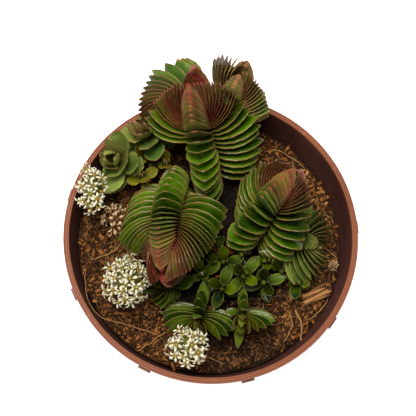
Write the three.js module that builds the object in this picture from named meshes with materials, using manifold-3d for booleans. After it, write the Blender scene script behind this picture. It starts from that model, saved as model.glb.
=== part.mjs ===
// A starburst crassula in its round plastic nursery pot.
//
// Leafy stems stand in coir soil. Each carries thick pointed leaves in opposite pairs, every pair a
// quarter turn on from the one below, so that four ranks of leaves fan out round the stem and close over
// its tip as a beak. Three of the stems end in a round head of small five-petalled white flowers.
// Units are millimetres, +Z is up, and the origin is the middle of the pot's underside.
import * as THREE from "three";
import { mergeVertices } from "three/addons/utils/BufferGeometryUtils.js";
import Module from "manifold-3d";

const wasm = await Module();
wasm.setup();

// Driving dimensions
const RIM_RADIUS = 60; // the pot is sold by its rim: 12 cm
const POT_HEIGHT = 95;
const FOOT_RADIUS = 42;
const WALL = 1.2;
const SOIL_LEVEL = 80;
const GAP = 0.3; // between pieces that touch
const LEAF_WIDTH = 13.5;
const LEAF_THICKNESS = 1.9;
const STEM_DEPTH = 10; // how deep a stem stands in the soil

// Solids

function solidOf(geometry) {
  const bare = geometry.clone();
  bare.deleteAttribute("normal");
  bare.deleteAttribute("uv");
  const merged = mergeVertices(bare, 1e-4);
  return new wasm.Manifold(
    new wasm.Mesh({
      numProp: 3,
      vertProperties: new Float32Array(merged.getAttribute("position").array),
      triVerts: new Uint32Array(merged.index.array),
    }),
  );
}

function geometryOf(solid) {
  const mesh = solid.getMesh();
  return new THREE.BufferGeometry()
    .setAttribute("position", new THREE.BufferAttribute(new Float32Array(mesh.vertProperties), 3))
    .setIndex(new THREE.BufferAttribute(new Uint32Array(mesh.triVerts), 1));
}

// All the solids joined, without the scraps that a crossing can leave loose.
function joined(solids) {
  const bodies = wasm.Manifold.union(solids).decompose();
  return bodies.reduce((a, b) => (a.volume() > b.volume() ? a : b));
}

function clash(a, b) {
  const p = a.boundingBox();
  const q = b.boundingBox();
  const apart = [0, 1, 2].some((k) => p.max[k] < q.min[k] || q.max[k] < p.min[k]);
  return !apart && a.intersect(b).volume() > 1e-5;
}

// A lathe turns its profile round +Y, and the pot's axis is +Z.
function turned(profile, segments) {
  const points = profile.map(([r, z]) => new THREE.Vector2(r, z));
  return new THREE.LatheGeometry(points, segments).rotateX(Math.PI / 2);
}

// A repeatable number from -1 to 1 for a piece and a purpose.
function jitter(piece, purpose) {
  const wave = Math.sin(piece * 12.9898 + purpose * 78.233) * 43758.5453;
  return 2 * (wave - Math.floor(wave)) - 1;
}

function smoothstep(low, high, x) {
  const t = Math.min(1, Math.max(0, (x - low) / (high - low)));
  return t * t * (3 - 2 * t);
}

// Pot: a thin tapered wall, a collar under a rolled lip, a raised floor with drain holes

const COLLAR_HEIGHT = 12;
const LIP_WIDTH = 2.4;
const POT_SEGMENTS = 36;
const FLOOR_RAISE = 2.2;
const FOOT_WIDTH = 6;
const PAD_RADIUS = 14; // the pad in the middle of the underside, level with the foot
const FLOOR = FLOOR_RAISE + 1.6; // the top of the floor
const STEP_Z = POT_HEIGHT - COLLAR_HEIGHT;
const STEP_RADIUS = RIM_RADIUS - 2.8; // the wall's outside just under the collar

// The wall's outer radius at a height under the collar.
function wallRadius(z) {
  return FOOT_RADIUS + ((STEP_RADIUS - FOOT_RADIUS) * z) / STEP_Z;
}

function innerRadius(z) {
  return wallRadius(z) - WALL;
}

const DRAINS = 6;
const DRAIN_RADIUS = 3.4;
const DRAIN_CIRCLE = 27;
const NIBS = 9; // stacking nibs that stand out under the lip
const NIB_FIRST = 4; // degrees
const NIB = [1.6, 5.2, 1.5]; // out, along the rim, and high

function makePot() {
  const rim = RIM_RADIUS;
  const top = POT_HEIGHT;
  const profile = [
    [0, 0],
    [PAD_RADIUS - 1, 0],
    [PAD_RADIUS, FLOOR_RAISE],
    [FOOT_RADIUS - FOOT_WIDTH, FLOOR_RAISE],
    [FOOT_RADIUS - FOOT_WIDTH + 1, 0],
    [FOOT_RADIUS - 0.6, 0],
    [FOOT_RADIUS, 0.8],
    [STEP_RADIUS, STEP_Z],
    [rim - 1.6, STEP_Z + 0.6],
    [rim - 0.5, top - 2.6],
    [rim, top - 1.6],
    [rim - 0.4, top - 0.4],
    [rim - 1.2, top],
    [rim - LIP_WIDTH + 0.4, top],
    [rim - LIP_WIDTH, top - 0.6],
    [innerRadius(STEP_Z), STEP_Z],
    [innerRadius(FLOOR), FLOOR],
    [0, FLOOR],
  ];
  let pot = solidOf(turned(profile, POT_SEGMENTS));
  for (let k = 0; k < DRAINS; k++) {
    const hole = new THREE.CylinderGeometry(DRAIN_RADIUS, DRAIN_RADIUS, 8, 10).rotateX(Math.PI / 2);
    const angle = ((k + 0.5) * 2 * Math.PI) / DRAINS;
    hole.translate(DRAIN_CIRCLE * Math.cos(angle), DRAIN_CIRCLE * Math.sin(angle), FLOOR_RAISE);
    pot = pot.subtract(solidOf(hole));
  }
  for (let k = 0; k < NIBS; k++) {
    const nib = new THREE.BoxGeometry(...NIB);
    nib.translate(rim - 0.1, 0, top - 3.6);
    nib.rotateZ(THREE.MathUtils.degToRad(NIB_FIRST + (360 / NIBS) * k));
    pot = pot.add(solidOf(nib));
  }
  return pot;
}

// Leaf: a boat-shaped blade, flat above and keeled below, pointed at its tip

const WIDEST_AT = 0.45; // share of the leaf's length
const BASE_SHARE = 0.55; // the base's width, as a share of the widest
const TIP_POWER = 2.6;
const CUP = 0.12; // how far the edges rise, as a share of half the width
const QUARTER = 0.93; // how much of its own quarter of the round a leaf may fill
const YOUNG_LEAN = 38; // degrees from the stem to the youngest leaves, which close over its tip as a hood
const OLD_CURL = 20; // degrees that a leaf bends back towards the tip along its length
const YOUNG_CURL = 75;

function outline(u) {
  const swell = BASE_SHARE + (1 - BASE_SHARE) * smoothstep(0, WIDEST_AT, u);
  const past = Math.max(0, (u - WIDEST_AT) / (1 - WIDEST_AT));
  return swell * (1 - past ** TIP_POWER);
}

// A point of the leaf: u runs from base to tip, across from edge to edge, above from under to upper side.
// Near the stem no leaf is wider than its own quarter of the round, so the four ranks never cross.
function leafPoint(leaf, u, across, above) {
  const { base, inset, out, along, side, length, width, thickness, lean, curl } = leaf;
  const ahead = lean - curl * u;
  const reach = (length * (Math.cos(ahead) - Math.cos(lean))) / curl;
  const climb = (length * (Math.sin(lean) - Math.sin(ahead))) / curl;
  const half = Math.min((width / 2) * outline(u), QUARTER * (inset + Math.max(reach, 0)));
  const share = (above > 0 ? 0.35 : 0.65) * (0.5 + 0.5 * smoothstep(0, 0.3, u)) * (1 - 0.55 * u * u);
  const rise = CUP * half * across * across + above * thickness * share;
  return base
    .clone()
    .addScaledVector(out, reach - rise * Math.cos(ahead))
    .addScaledVector(along, climb + rise * Math.sin(ahead))
    .addScaledVector(side, across * half);
}

const KEELED = [[0, -1], [1, 0.2], [-1, 0.2]]; // the section's corners: keel and two edges

function blade(leaf) {
  const cone = new THREE.ConeGeometry(1, 1, 3, 2);
  const position = cone.getAttribute("position");
  for (let i = 0; i < position.count; i++) {
    const share = position.getY(i) + 0.5;
    const corner = Math.round(Math.atan2(position.getX(i), position.getZ(i)) / ((2 * Math.PI) / 3));
    const ends = share > 0.999 || Math.hypot(position.getX(i), position.getZ(i)) < 1e-6;
    const [across, above] = ends ? [0, 0] : KEELED[(corner + 3) % 3];
    const p = leafPoint(leaf, share ** 0.6, across, above);
    position.setXYZ(i, p.x, p.y, p.z);
  }
  const solid = solidOf(cone);
  return solid.volume() < 0 ? solidOf(cone.setIndex([...cone.index.array].reverse())) : solid;
}

// The same leaf with room round it, which no leaf of another stem may enter.
function roomy(leaf) {
  return blade({
    ...leaf,
    length: leaf.length + 0.5,
    width: leaf.width + 0.9,
    thickness: leaf.thickness + 0.8,
  });
}

// Stem: a round core along a curve from its foot in the soil to its crown

const CORE_SIDES = 4; // one for each rank of leaves
const CORE_RADIUS = 3.2; // under the leaves, to the corners

function stemCurve(head) {
  const [footX, footY] = head.foot;
  const [x, y, z] = head.crown;
  const start = new THREE.Vector3(footX, footY, SOIL_LEVEL - STEM_DEPTH);
  const rise = SOIL_LEVEL + 0.5 * (z - SOIL_LEVEL);
  const via = head.via ?? [footX + head.bow * (x - footX), footY + head.bow * (y - footY), rise];
  return new THREE.QuadraticBezierCurve3(start, new THREE.Vector3(...via), new THREE.Vector3(x, y, z));
}

// The directions out of a stem at a share of its way: along it, out to the front and out to the side.
function directions(curve, share) {
  const front = new THREE.Vector3(0, -1, 0);
  const along = curve.getTangent(share);
  const out = front.addScaledVector(along, -front.dot(along)).normalize();
  return { along, out, side: along.clone().cross(out) };
}

function coreRadius(head, share) {
  const young = 1 - 0.6 * smoothstep(0.75, 1, share);
  return CORE_RADIUS * head.size * young;
}

function core(head, room) {
  const curve = stemCurve(head);
  const cylinder = new THREE.CylinderGeometry(1, 1, 1, CORE_SIDES, head.bends);
  cylinder.rotateY(THREE.MathUtils.degToRad(45 + head.turn));
  const position = cylinder.getAttribute("position");
  for (let i = 0; i < position.count; i++) {
    const share = position.getY(i) + 0.5;
    const { out, side } = directions(curve, share);
    const radius = coreRadius(head, share) + room * Math.SQRT2;
    const p = curve
      .getPoint(share)
      .addScaledVector(out, position.getZ(i) * radius)
      .addScaledVector(side, position.getX(i) * radius);
    position.setXYZ(i, p.x, p.y, p.z);
  }
  return solidOf(cylinder);
}

// The leaves of one stem, oldest first: pairs a quarter turn apart, closer and steeper towards the crown.
function leavesOf(head) {
  const curve = stemCurve(head);
  const leaves = [];
  for (let pair = 0; pair < head.pairs; pair++) {
    const age = pair / (head.pairs - 1); // 0 is the oldest
    const share = head.bare + (1 - head.bare) * (1.65 * age - 0.65 * age * age);
    const { along, out: front, side: right } = directions(curve, share);
    for (let half = 0; half < 2; half++) {
      const piece = head.seed * 100 + pair * 2 + half;
      const rank = (pair + 2 * half) % 4;
      if (age < head.lost[rank]) continue;
      const turn = THREE.MathUtils.degToRad(head.turn + 90 * pair + 180 * half + 2 * jitter(piece, 1));
      const out = front.clone().multiplyScalar(Math.cos(turn)).addScaledVector(right, Math.sin(turn));
      const inset = 0.3 * coreRadius(head, share);
      const reach = head.length * head.ranks[rank];
      const lean = head.spread - (head.spread - YOUNG_LEAN) * age ** 1.35 + 1.5 * jitter(piece, 3);
      leaves.push({
        piece,
        age,
        out,
        along,
        side: along.clone().cross(out),
        inset,
        base: curve.getPoint(share).addScaledVector(out, inset),
        length: reach * (1 - head.shrink * age ** 3 - 0.25 * (1 - age) ** 4) * (1 + 0.05 * jitter(piece, 2)),
        width: LEAF_WIDTH * head.size * head.plump * (1 - 0.3 * age ** 2 - 0.1 * (1 - age) ** 4),
        thickness: LEAF_THICKNESS * head.size * head.fat * (1 - 0.5 * age),
        lean: THREE.MathUtils.degToRad(lean),
        curl: THREE.MathUtils.degToRad(OLD_CURL + (YOUNG_CURL - OLD_CURL) * age ** 2),
      });
    }
  }
  return leaves;
}

// Where the stems stand and how they grow. Feet, crowns and the places that stems bend towards (via) are
// over the pot, in millimetres. size scales the leaves' width and thickness, bare is the share of the stem
// with no leaves, and shrink is how much shorter the youngest leaves are. ranks lengthens or shortens the
// leaves to the front, the right, the back and the left, and lost is the share of each rank's leaves that
// have fallen, from the oldest up.
const LEAFY_HEAD = {
  size: 1, plump: 1, fat: 1, bow: 0.45, bends: 4, spread: 105, shrink: 0.15, ranks: [1, 1, 1, 1],
  lost: [0, 0, 0, 0],
};
const PLUMP_SHOOT = {
  ...LEAFY_HEAD, bends: 2, pairs: 4, length: 10.5, bare: 0.55, size: 0.78, plump: 0.52, fat: 2, spread: 92,
  shrink: 0.5,
};
const HEADS = [
  { name: "head_tall", foot: [1, 22], crown: [-5, 44, 107], via: [-2, 37, 97], pairs: 32,
    length: 24.5, turn: 3, bare: 0.3, spread: 118, ranks: [1, 1, 1.1, 1], lost: [0, 0, 0.2, 0.45] },
  { name: "head_left", foot: [-3, 48], crown: [-13.5, 51.5, 102.5], via: [-1, 58, 105], bends: 5, pairs: 23,
    length: 21, turn: 8, bare: 0.4, ranks: [0.7, 0.65, 1, 0.9] },
  { name: "head_front", foot: [-13, 27], crown: [-17.5, -6.5, 105.5], via: [-14.5, 15, 99], pairs: 33,
    length: 22.5, turn: 2, bare: 0.3, ranks: [1, 1, 0.75, 1] },
  { name: "head_right", foot: [19, 1], crown: [26, 11.5, 103.5], via: [20.5, 2, 97], pairs: 26,
    length: 20, turn: 29, bare: 0.36 },
  { name: "head_back", foot: [3.5, 46], crown: [8.5, 56.5, 104], pairs: 24,
    length: 18, turn: -28, bare: 0.42, size: 0.95, ranks: [1, 1, 1, 1.3], lost: [0.4, 0, 0, 0] },
  { name: "head_small", foot: [-20, 40], crown: [-27.5, 42.5, 98], pairs: 11,
    length: 14, turn: 20, bare: 0.35, size: 0.8, ranks: [1, 0.7, 0.9, 1] },
  { name: "head_flowering", foot: [-1.5, -23.5], crown: [-5.5, -36.5, 94], pairs: 20,
    length: 16, turn: -12, bare: 0.34, size: 0.76, plump: 0.52, fat: 1.2 },
  { name: "head_low", foot: [13, -26], crown: [12, -34, 92], pairs: 15,
    length: 13.5, turn: -8, bare: 0.36, size: 0.72, plump: 0.46, fat: 1.6, ranks: [1, 1.1, 0.8, 0.9] },
  { name: "head_side", foot: [31, -1], crown: [39.5, -3, 92], via: [31, -1.5, 94], pairs: 15,
    length: 16, turn: 0, bare: 0.3, size: 0.8, plump: 0.9, shrink: 0.5, ranks: [1.15, 0.8, 1.05, 0.5] },
  { name: "head_grey", foot: [-35, 34], crown: [-39.5, 31, 96], pairs: 11,
    length: 15, turn: -18, bare: 0.34, spread: 98, size: 0.85, ranks: [1.05, 0.8, 1.15, 0.6] },
  { name: "head_under", foot: [-10, -17.5], crown: [-20.5, -20, 91], pairs: 12,
    length: 12, turn: 5, bare: 0.32, size: 0.65, plump: 0.8 },
  { name: "shoot_a", foot: [-3, -14.5], crown: [-3.5, -15.5, 91], turn: 30 },
  { name: "shoot_b", foot: [4.5, -19.5], crown: [4.5, -21, 91], turn: 70 },
  { name: "shoot_c", foot: [5.5, -9.5], crown: [5.5, -11, 93], turn: 10 },
  { name: "shoot_d", foot: [13.5, -14.5], crown: [13.5, -16, 91], turn: 50 },
  { name: "shoot_e", foot: [21.5, -17], crown: [22, -18.5, 89], turn: 15 },
  { name: "shoot_f", foot: [28.5, -12], crown: [29, -13.5, 90], turn: 55 },
  { name: "shoot_g", foot: [-28.5, 25.5], crown: [-28.5, 25.5, 92], turn: 25, length: 7.5 },
  { name: "shoot_h", foot: [-19, 30.5], crown: [-18.5, 30.5, 94], turn: 10, length: 8 },
  { name: "shoot_i", foot: [13, -6.5], crown: [13, -7.5, 92], turn: 35 },
  { name: "shoot_j", foot: [35, -17], crown: [35.5, -18, 87.5], turn: 80, length: 8 },
  { name: "shoot_k", foot: [-27, 34], crown: [-27.5, 34, 94], turn: 60, length: 7.5 },
  { name: "shoot_l", foot: [-2, -5.5], crown: [-2, -6.5, 90], turn: 40 },
  { name: "shoot_m", foot: [22.5, -9], crown: [22.5, -10, 90], turn: 5 },
].map((head, seed) => ({ ...(head.name.startsWith("shoot") ? PLUMP_SHOOT : LEAFY_HEAD), ...head, seed }));

// The leaves shrink in steps until they clear everything that is already there.
const FITS = [1, 0.9, 0.8, 0.7, 0.6, 0.5, 0.4];

function clearOfPot(leaf) {
  for (const u of [0.35, 0.7, 1]) {
    for (const [across, above] of [[0, -1], [1, 0], [-1, 0]]) {
      const p = leafPoint(leaf, u, u === 1 ? 0 : across, u === 1 ? 0 : above);
      const radius = Math.hypot(p.x, p.y);
      if (p.z < soilHeight(p.x, p.y) + 0.5) return false;
      if (p.z < POT_HEIGHT + 0.5 && radius > innerRadius(Math.min(p.z, STEP_Z)) - 0.6) return false;
    }
  }
  return true;
}

// Soil: a plug that fills the pot to its level, lumpy on top, with a plain hole for each stem

const SOIL_SEGMENTS = 36;
const SOIL_RINGS = [0.93, 0.74, 0.52, 0.27];

function soilHeight(x, y) {
  const slope = -0.022 * x - 0.014 * y;
  const lumps =
    0.75 * Math.sin(0.21 * x + 1.3) * Math.cos(0.19 * y - 0.4) +
    0.5 * Math.sin(0.43 * x - 0.31 * y + 0.7) +
    0.35 * Math.cos(0.57 * y + 0.35 * x);
  return SOIL_LEVEL + slope + lumps;
}

function makeSoil() {
  const bottom = FLOOR + GAP;
  const edge = innerRadius(SOIL_LEVEL) - 2 * GAP;
  const profile = [[0, bottom], [innerRadius(bottom) - 2 * GAP, bottom], [edge, SOIL_LEVEL]];
  profile.push(...SOIL_RINGS.map((share) => [share * edge, SOIL_LEVEL]), [0, SOIL_LEVEL]);
  const plug = turned(profile, SOIL_SEGMENTS);
  const position = plug.getAttribute("position");
  for (let i = 0; i < position.count; i++) {
    const [x, y, z] = [position.getX(i), position.getY(i), position.getZ(i)];
    if (z < SOIL_LEVEL - 1) continue;
    const rim = smoothstep(0.99, 0.9, Math.hypot(x, y) / edge);
    position.setZ(i, SOIL_LEVEL - 0.4 + (soilHeight(x, y) - SOIL_LEVEL) * rim);
  }
  return solidOf(plug);
}

// Bloom: florets all round the end of a stalk, each a five-petalled cup whose point is sunk in the middle

const BLOOMS = [
  {
    name: "bloom_left", head: "head_grey", at: [-48.5, 17, 101],
    size: [6.2, 11, 6.2], florets: 12, petal: 2.6,
  },
  {
    name: "bloom_round", head: "head_under", at: [-33.5, -20.5, 101],
    size: [10, 10, 8], florets: 14, petal: 2.8,
  },
  {
    name: "bloom_front", head: "head_flowering", at: [-9.5, -46, 103],
    size: [8.5, 8, 7], florets: 12, petal: 2.6,
  },
];
const GOLDEN_ANGLE = Math.PI * (3 - Math.sqrt(5));
const STALK_RADIUS = 1.1;
const BLOOM_SIDES = 10; // corners of a fresh floret, two to a petal
const SPENT_SIDES = 5; // corners of a dried floret

function floret(at, normal, petal, spin, sides) {
  const cone = new THREE.ConeGeometry(1, 1, sides, 1);
  const position = cone.getAttribute("position");
  const toward = new THREE.Quaternion().setFromUnitVectors(new THREE.Vector3(0, 1, 0), normal);
  for (let i = 0; i < position.count; i++) {
    const [x, z] = [position.getX(i), position.getZ(i)];
    const apex = position.getY(i) > 0;
    const middle = Math.hypot(x, z) < 1e-6;
    const tip = Math.round(Math.atan2(x, z) / (Math.PI / 5)) % 2 === 0;
    const radius = middle ? 0 : petal * (tip ? 1 : 0.55);
    const height = apex ? -1.6 * petal : middle ? -0.35 * petal : tip ? 0.1 * petal : 0;
    const p = new THREE.Vector3(x * radius, height, z * radius);
    p.applyAxisAngle(new THREE.Vector3(0, 1, 0), spin).applyQuaternion(toward).add(at);
    position.setXYZ(i, p.x, p.y, p.z);
  }
  const solid = solidOf(cone);
  return solid.volume() < 0 ? solidOf(cone.setIndex([...cone.index.array].reverse())) : solid;
}

function ball(at, size, detail) {
  return solidOf(new THREE.IcosahedronGeometry(1, detail).scale(...size).translate(...at));
}

function cluster(bloom, sides) {
  const { at, size, florets, petal } = bloom;
  const pieces = [ball(at, size.map((r) => r - 1.1 * petal * 0.9), 0)];
  for (let k = 0; k < florets; k++) {
    const height = 1 - (1.25 * (k + 0.5)) / florets; // from the top to a little under the middle
    const ring = Math.sqrt(1 - height * height);
    const angle = k * GOLDEN_ANGLE;
    const way = new THREE.Vector3(ring * Math.cos(angle), ring * Math.sin(angle), height);
    const place = way.clone().multiply(new THREE.Vector3(...size)).add(new THREE.Vector3(...at));
    const normal = way.clone().divide(new THREE.Vector3(...size)).normalize();
    pieces.push(floret(place, normal, petal, k * 1.7, sides));
  }
  return joined(pieces);
}

// The stalk that carries a bloom out of its stem's crown and into the middle of the florets.
function stalk(head, bloom, room) {
  const curve = stemCurve(head);
  const start = curve.getPoint(0.85);
  const bend = curve.getPoint(1);
  const end = new THREE.Vector3(...bloom.at).lerp(bend, 0.12);
  return rod(new THREE.QuadraticBezierCurve3(start, bend, end), STALK_RADIUS + room, 3, 5);
}

function rod(curve, radius, steps, sides) {
  const cylinder = new THREE.CylinderGeometry(1, 1, 1, sides, steps);
  const position = cylinder.getAttribute("position");
  for (let i = 0; i < position.count; i++) {
    const share = position.getY(i) + 0.5;
    const { out, side } = directions(curve, share);
    const p = curve
      .getPoint(share)
      .addScaledVector(out, position.getZ(i) * radius)
      .addScaledVector(side, position.getX(i) * radius);
    position.setXYZ(i, p.x, p.y, p.z);
  }
  return solidOf(cylinder);
}

// Spent blooms: brown tufts on thin stalks of their own
const SPENT = [
  {
    name: "spent_bloom_left", foot: [-38, 6], at: [-39.5, 6.5, 91],
    size: [4.2, 5.2, 3.5], florets: 7, petal: 2,
  },
  {
    name: "spent_bloom_right", foot: [49.5, -12], at: [50.5, -11.5, 88.5],
    size: [1.9, 1.9, 1.7], florets: 5, petal: 1.3,
  },
];

function spentStalk(spent, room) {
  const foot = new THREE.Vector3(...spent.foot, SOIL_LEVEL - STEM_DEPTH);
  const top = new THREE.Vector3(...spent.at);
  const bend = new THREE.Vector3(foot.x, foot.y, SOIL_LEVEL + 4);
  return rod(new THREE.QuadraticBezierCurve3(foot, bend, top), 0.9 + room, 3, 5);
}

// The whole plant

const parts = new THREE.Group();
parts.name = "potted_crassula";

function addPart(name, solid, color, roughness) {
  const mesh = new THREE.Mesh(
    geometryOf(solid),
    new THREE.MeshStandardMaterial({ color, roughness, metalness: 0 }),
  );
  mesh.name = name;
  parts.add(mesh);
}

addPart("pot", makePot(), 0xa9684a, 0.5);

let soil = makeSoil();
const cores = HEADS.map((head) => core(head, 0));
const roomyCores = HEADS.map((head) => core(head, GAP + 0.1));
const spentSolids = SPENT.map((spent) => joined([cluster(spent, SPENT_SIDES), spentStalk(spent, 0)]));
const taken = [];
for (const bloom of [...BLOOMS, ...SPENT]) {
  taken.push(ball(bloom.at, bloom.size.map((r) => r + 1.2), 2));
}
for (const spent of SPENT) {
  taken.push(spentStalk(spent, GAP + 0.2));
  soil = soil.subtract(spentStalk(spent, GAP));
}
for (const [k, head] of HEADS.entries()) {
  const others = roomyCores.filter((_, other) => other !== k);
  const grown = [];
  const rooms = [roomyCores[k]];
  for (const leaf of leavesOf(head)) {
    for (const fit of FITS) {
      const tried = { ...leaf, length: leaf.length * fit, width: leaf.width * Math.sqrt(fit) };
      const solid = blade(tried);
      if (!clearOfPot(tried) || [...others, ...taken].some((room) => clash(solid, room))) continue;
      grown.push(solid);
      rooms.push(roomy(tried));
      break;
    }
  }
  const bloom = BLOOMS.find((each) => each.head === head.name);
  if (bloom) {
    grown.push(stalk(head, bloom, 0));
    rooms.push(stalk(head, bloom, GAP + 0.2));
    addPart(bloom.name, cluster(bloom, BLOOM_SIDES).subtract(stalk(head, bloom, GAP)), 0xe9e6d2, 0.6);
  }
  const whole = joined([cores[k], ...grown]);
  taken.push(wasm.Manifold.union(rooms));
  soil = soil.subtract(core(head, GAP));
  addPart(head.name, whole, 0x4f7a34, 0.45);
  console.log(head.name, "of", head.pairs * 2, "leaves", grown.length, "tris", whole.numTri());
}
SPENT.forEach((spent, k) => addPart(spent.name, spentSolids[k], 0x9a7350, 0.9));
addPart("soil", soil, 0x6d4526, 0.95);

export default parts;
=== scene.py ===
import math
import random

import bmesh
import bpy
from mathutils import Matrix, Vector, kdtree, noise


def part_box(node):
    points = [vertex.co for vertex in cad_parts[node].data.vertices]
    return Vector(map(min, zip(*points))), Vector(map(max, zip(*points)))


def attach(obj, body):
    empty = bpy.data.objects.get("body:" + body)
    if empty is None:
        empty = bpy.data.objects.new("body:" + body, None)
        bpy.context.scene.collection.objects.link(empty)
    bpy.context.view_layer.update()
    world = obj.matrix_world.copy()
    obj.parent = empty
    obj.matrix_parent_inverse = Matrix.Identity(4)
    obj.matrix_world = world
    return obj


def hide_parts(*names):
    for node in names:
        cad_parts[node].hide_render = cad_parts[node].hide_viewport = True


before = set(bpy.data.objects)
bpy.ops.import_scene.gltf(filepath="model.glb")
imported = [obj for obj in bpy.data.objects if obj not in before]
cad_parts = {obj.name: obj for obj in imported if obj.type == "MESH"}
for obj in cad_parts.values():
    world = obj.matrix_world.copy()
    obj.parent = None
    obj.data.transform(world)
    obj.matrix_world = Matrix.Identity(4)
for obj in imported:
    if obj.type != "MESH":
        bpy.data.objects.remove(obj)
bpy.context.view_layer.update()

# The pot: one thin moulding of terracotta-coloured plastic, with a tapered wall, a collar, a grooved lip
# and a raised floor. It is turned from one rounded profile, its drain holes are cut, and small stacking
# nibs stand out under the lip.
MM = 0.001
POT_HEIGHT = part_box("pot")[1].z / MM
RIM_RADIUS = 60
FOOT_RADIUS = 42
WALL = 1.2
STEP_HEIGHT = POT_HEIGHT - 12  # where the collar starts
STEP_RADIUS = RIM_RADIUS - 2.8
FLOOR_TOP = 3.8
FLOOR_UNDER = 2.2
PAD_RADIUS = 14
LIP_INSIDE = RIM_RADIUS - 2.4
GROOVE = 0.28  # the depth of the lip's groove
POT_SIDES = 168
DRAINS = 6
DRAIN_RADIUS = 3.4
DRAIN_CIRCLE = 27
NIBS = 9
NIB_FIRST = math.radians(4)
NIB_SIZE = (1.6, 5.2, 1.5)
NIB_HEIGHT = POT_HEIGHT - 3.6
DRILL_SIDES = 28
WALL_SLOPE = (STEP_RADIUS - FOOT_RADIUS) / STEP_HEIGHT
DUST_TOP, DUST_FULL = 4, 14  # how far under the lip the dust on the inner wall starts, and is full


class Wire:
    """What comes out of a node. Python's operators on wires that carry numbers add Math nodes."""

    def __init__(self, tree, socket):
        self.tree = tree
        self.socket = socket

    def other(self, name):
        return Wire(self.tree, self.socket.node.outputs[name])

    def __add__(self, value):
        return self.tree.math("ADD", self, value)

    def __sub__(self, value):
        return self.tree.math("SUBTRACT", self, value)

    def __rsub__(self, value):
        return self.tree.math("SUBTRACT", value, self)

    def __mul__(self, value):
        return self.tree.math("MULTIPLY", self, value)

    def __truediv__(self, value):
        return self.tree.math("DIVIDE", self, value)

    def __pow__(self, value):
        return self.tree.math("POWER", self, value)

    __radd__ = __add__
    __rmul__ = __mul__


class Tree:
    """A node tree that is filled from Python."""

    def __init__(self, tree):
        self.tree = tree

    def node(self, kind, settings=None, sockets=None):
        """Adds a node: its settings, then its sockets by name or place. Gives its first output."""
        node = self.tree.nodes.new(kind)
        for name, value in (settings or {}).items():
            setattr(node, name, value)
        for name, value in (sockets or {}).items():
            if isinstance(name, int):
                socket = node.inputs[name]
            else:
                socket = next(s for s in node.inputs if s.name == name and s.enabled)
            for each in value if isinstance(value, list) else [value]:
                if isinstance(each, Wire):
                    self.tree.links.new(each.socket, socket)
                else:
                    socket.default_value = each
        outputs = [s for s in node.outputs if s.enabled]
        return Wire(self, outputs[0]) if outputs else node

    def math(self, operation, *values):
        return self.node("ShaderNodeMath", {"operation": operation}, dict(enumerate(values)))

    def step(self, low, high, value):
        """A number that rises smoothly from 0 to 1 while the value goes from low to high."""
        settings = {"interpolation_type": "SMOOTHSTEP"}
        return self.node("ShaderNodeMapRange", settings, {"Value": value, "From Min": low, "From Max": high})

    def parts(self, vector):
        """The three numbers of a vector."""
        split = self.node("ShaderNodeSeparateXYZ", None, {0: vector})
        return [split.other(axis) for axis in "XYZ"]

    def vector(self, operation, *values, scale=None):
        sockets = dict(enumerate(values))
        if scale is not None:
            sockets["Scale"] = scale
        return self.node("ShaderNodeVectorMath", {"operation": operation}, sockets)


class Finish(Tree):
    """A material whose colours and bumps are worked out from places on the piece."""

    def __init__(self, name, **constants):
        self.material = bpy.data.materials.new(name)
        self.material.use_nodes = True
        super().__init__(self.material.node_tree)
        self.shader = self.tree.nodes["Principled BSDF"]
        for socket, value in constants.items():
            self.shader.inputs[socket.replace("_", " ")].default_value = value
        self.place = self.node("ShaderNodeTexCoord").other("Object")

    def speckle(self, size, detail=2, place=None):
        """Noise from 0 to 1 whose lumps are about that size in metres."""
        sockets = {"Vector": place or self.place, "Scale": 1 / size, "Detail": detail}
        return self.node("ShaderNodeTexNoise", None, sockets)

    def mix(self, share, first, second):
        return self.node("ShaderNodeMix", {"data_type": "RGBA"}, {"Factor": share, "A": first, "B": second})

    def attribute(self, name):
        return self.node("ShaderNodeAttribute", {"attribute_name": name}).other("Fac")

    def layers(self, colour, *coats):
        """A colour with others laid over it. Each coat is its share and its colour."""
        for share, over in coats:
            colour = self.mix(share, colour, over)
        return colour

    def bump(self, height, depth):
        return self.node("ShaderNodeBump", None, {"Height": height, "Distance": depth})

    def show(self, **sockets):
        for name, value in sockets.items():
            self.tree.links.new(value.socket, self.shader.inputs[name.replace("_", " ")])
        return self.material


def paint(red, green, blue):
    """A colour as it looks on a screen, from 0 to 255, in the renderer's own scale."""
    scaled = [c / 255 for c in (red, green, blue)]
    return (*(c / 12.92 if c <= 0.04045 else ((c + 0.055) / 1.055) ** 2.4 for c in scaled), 1)


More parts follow.
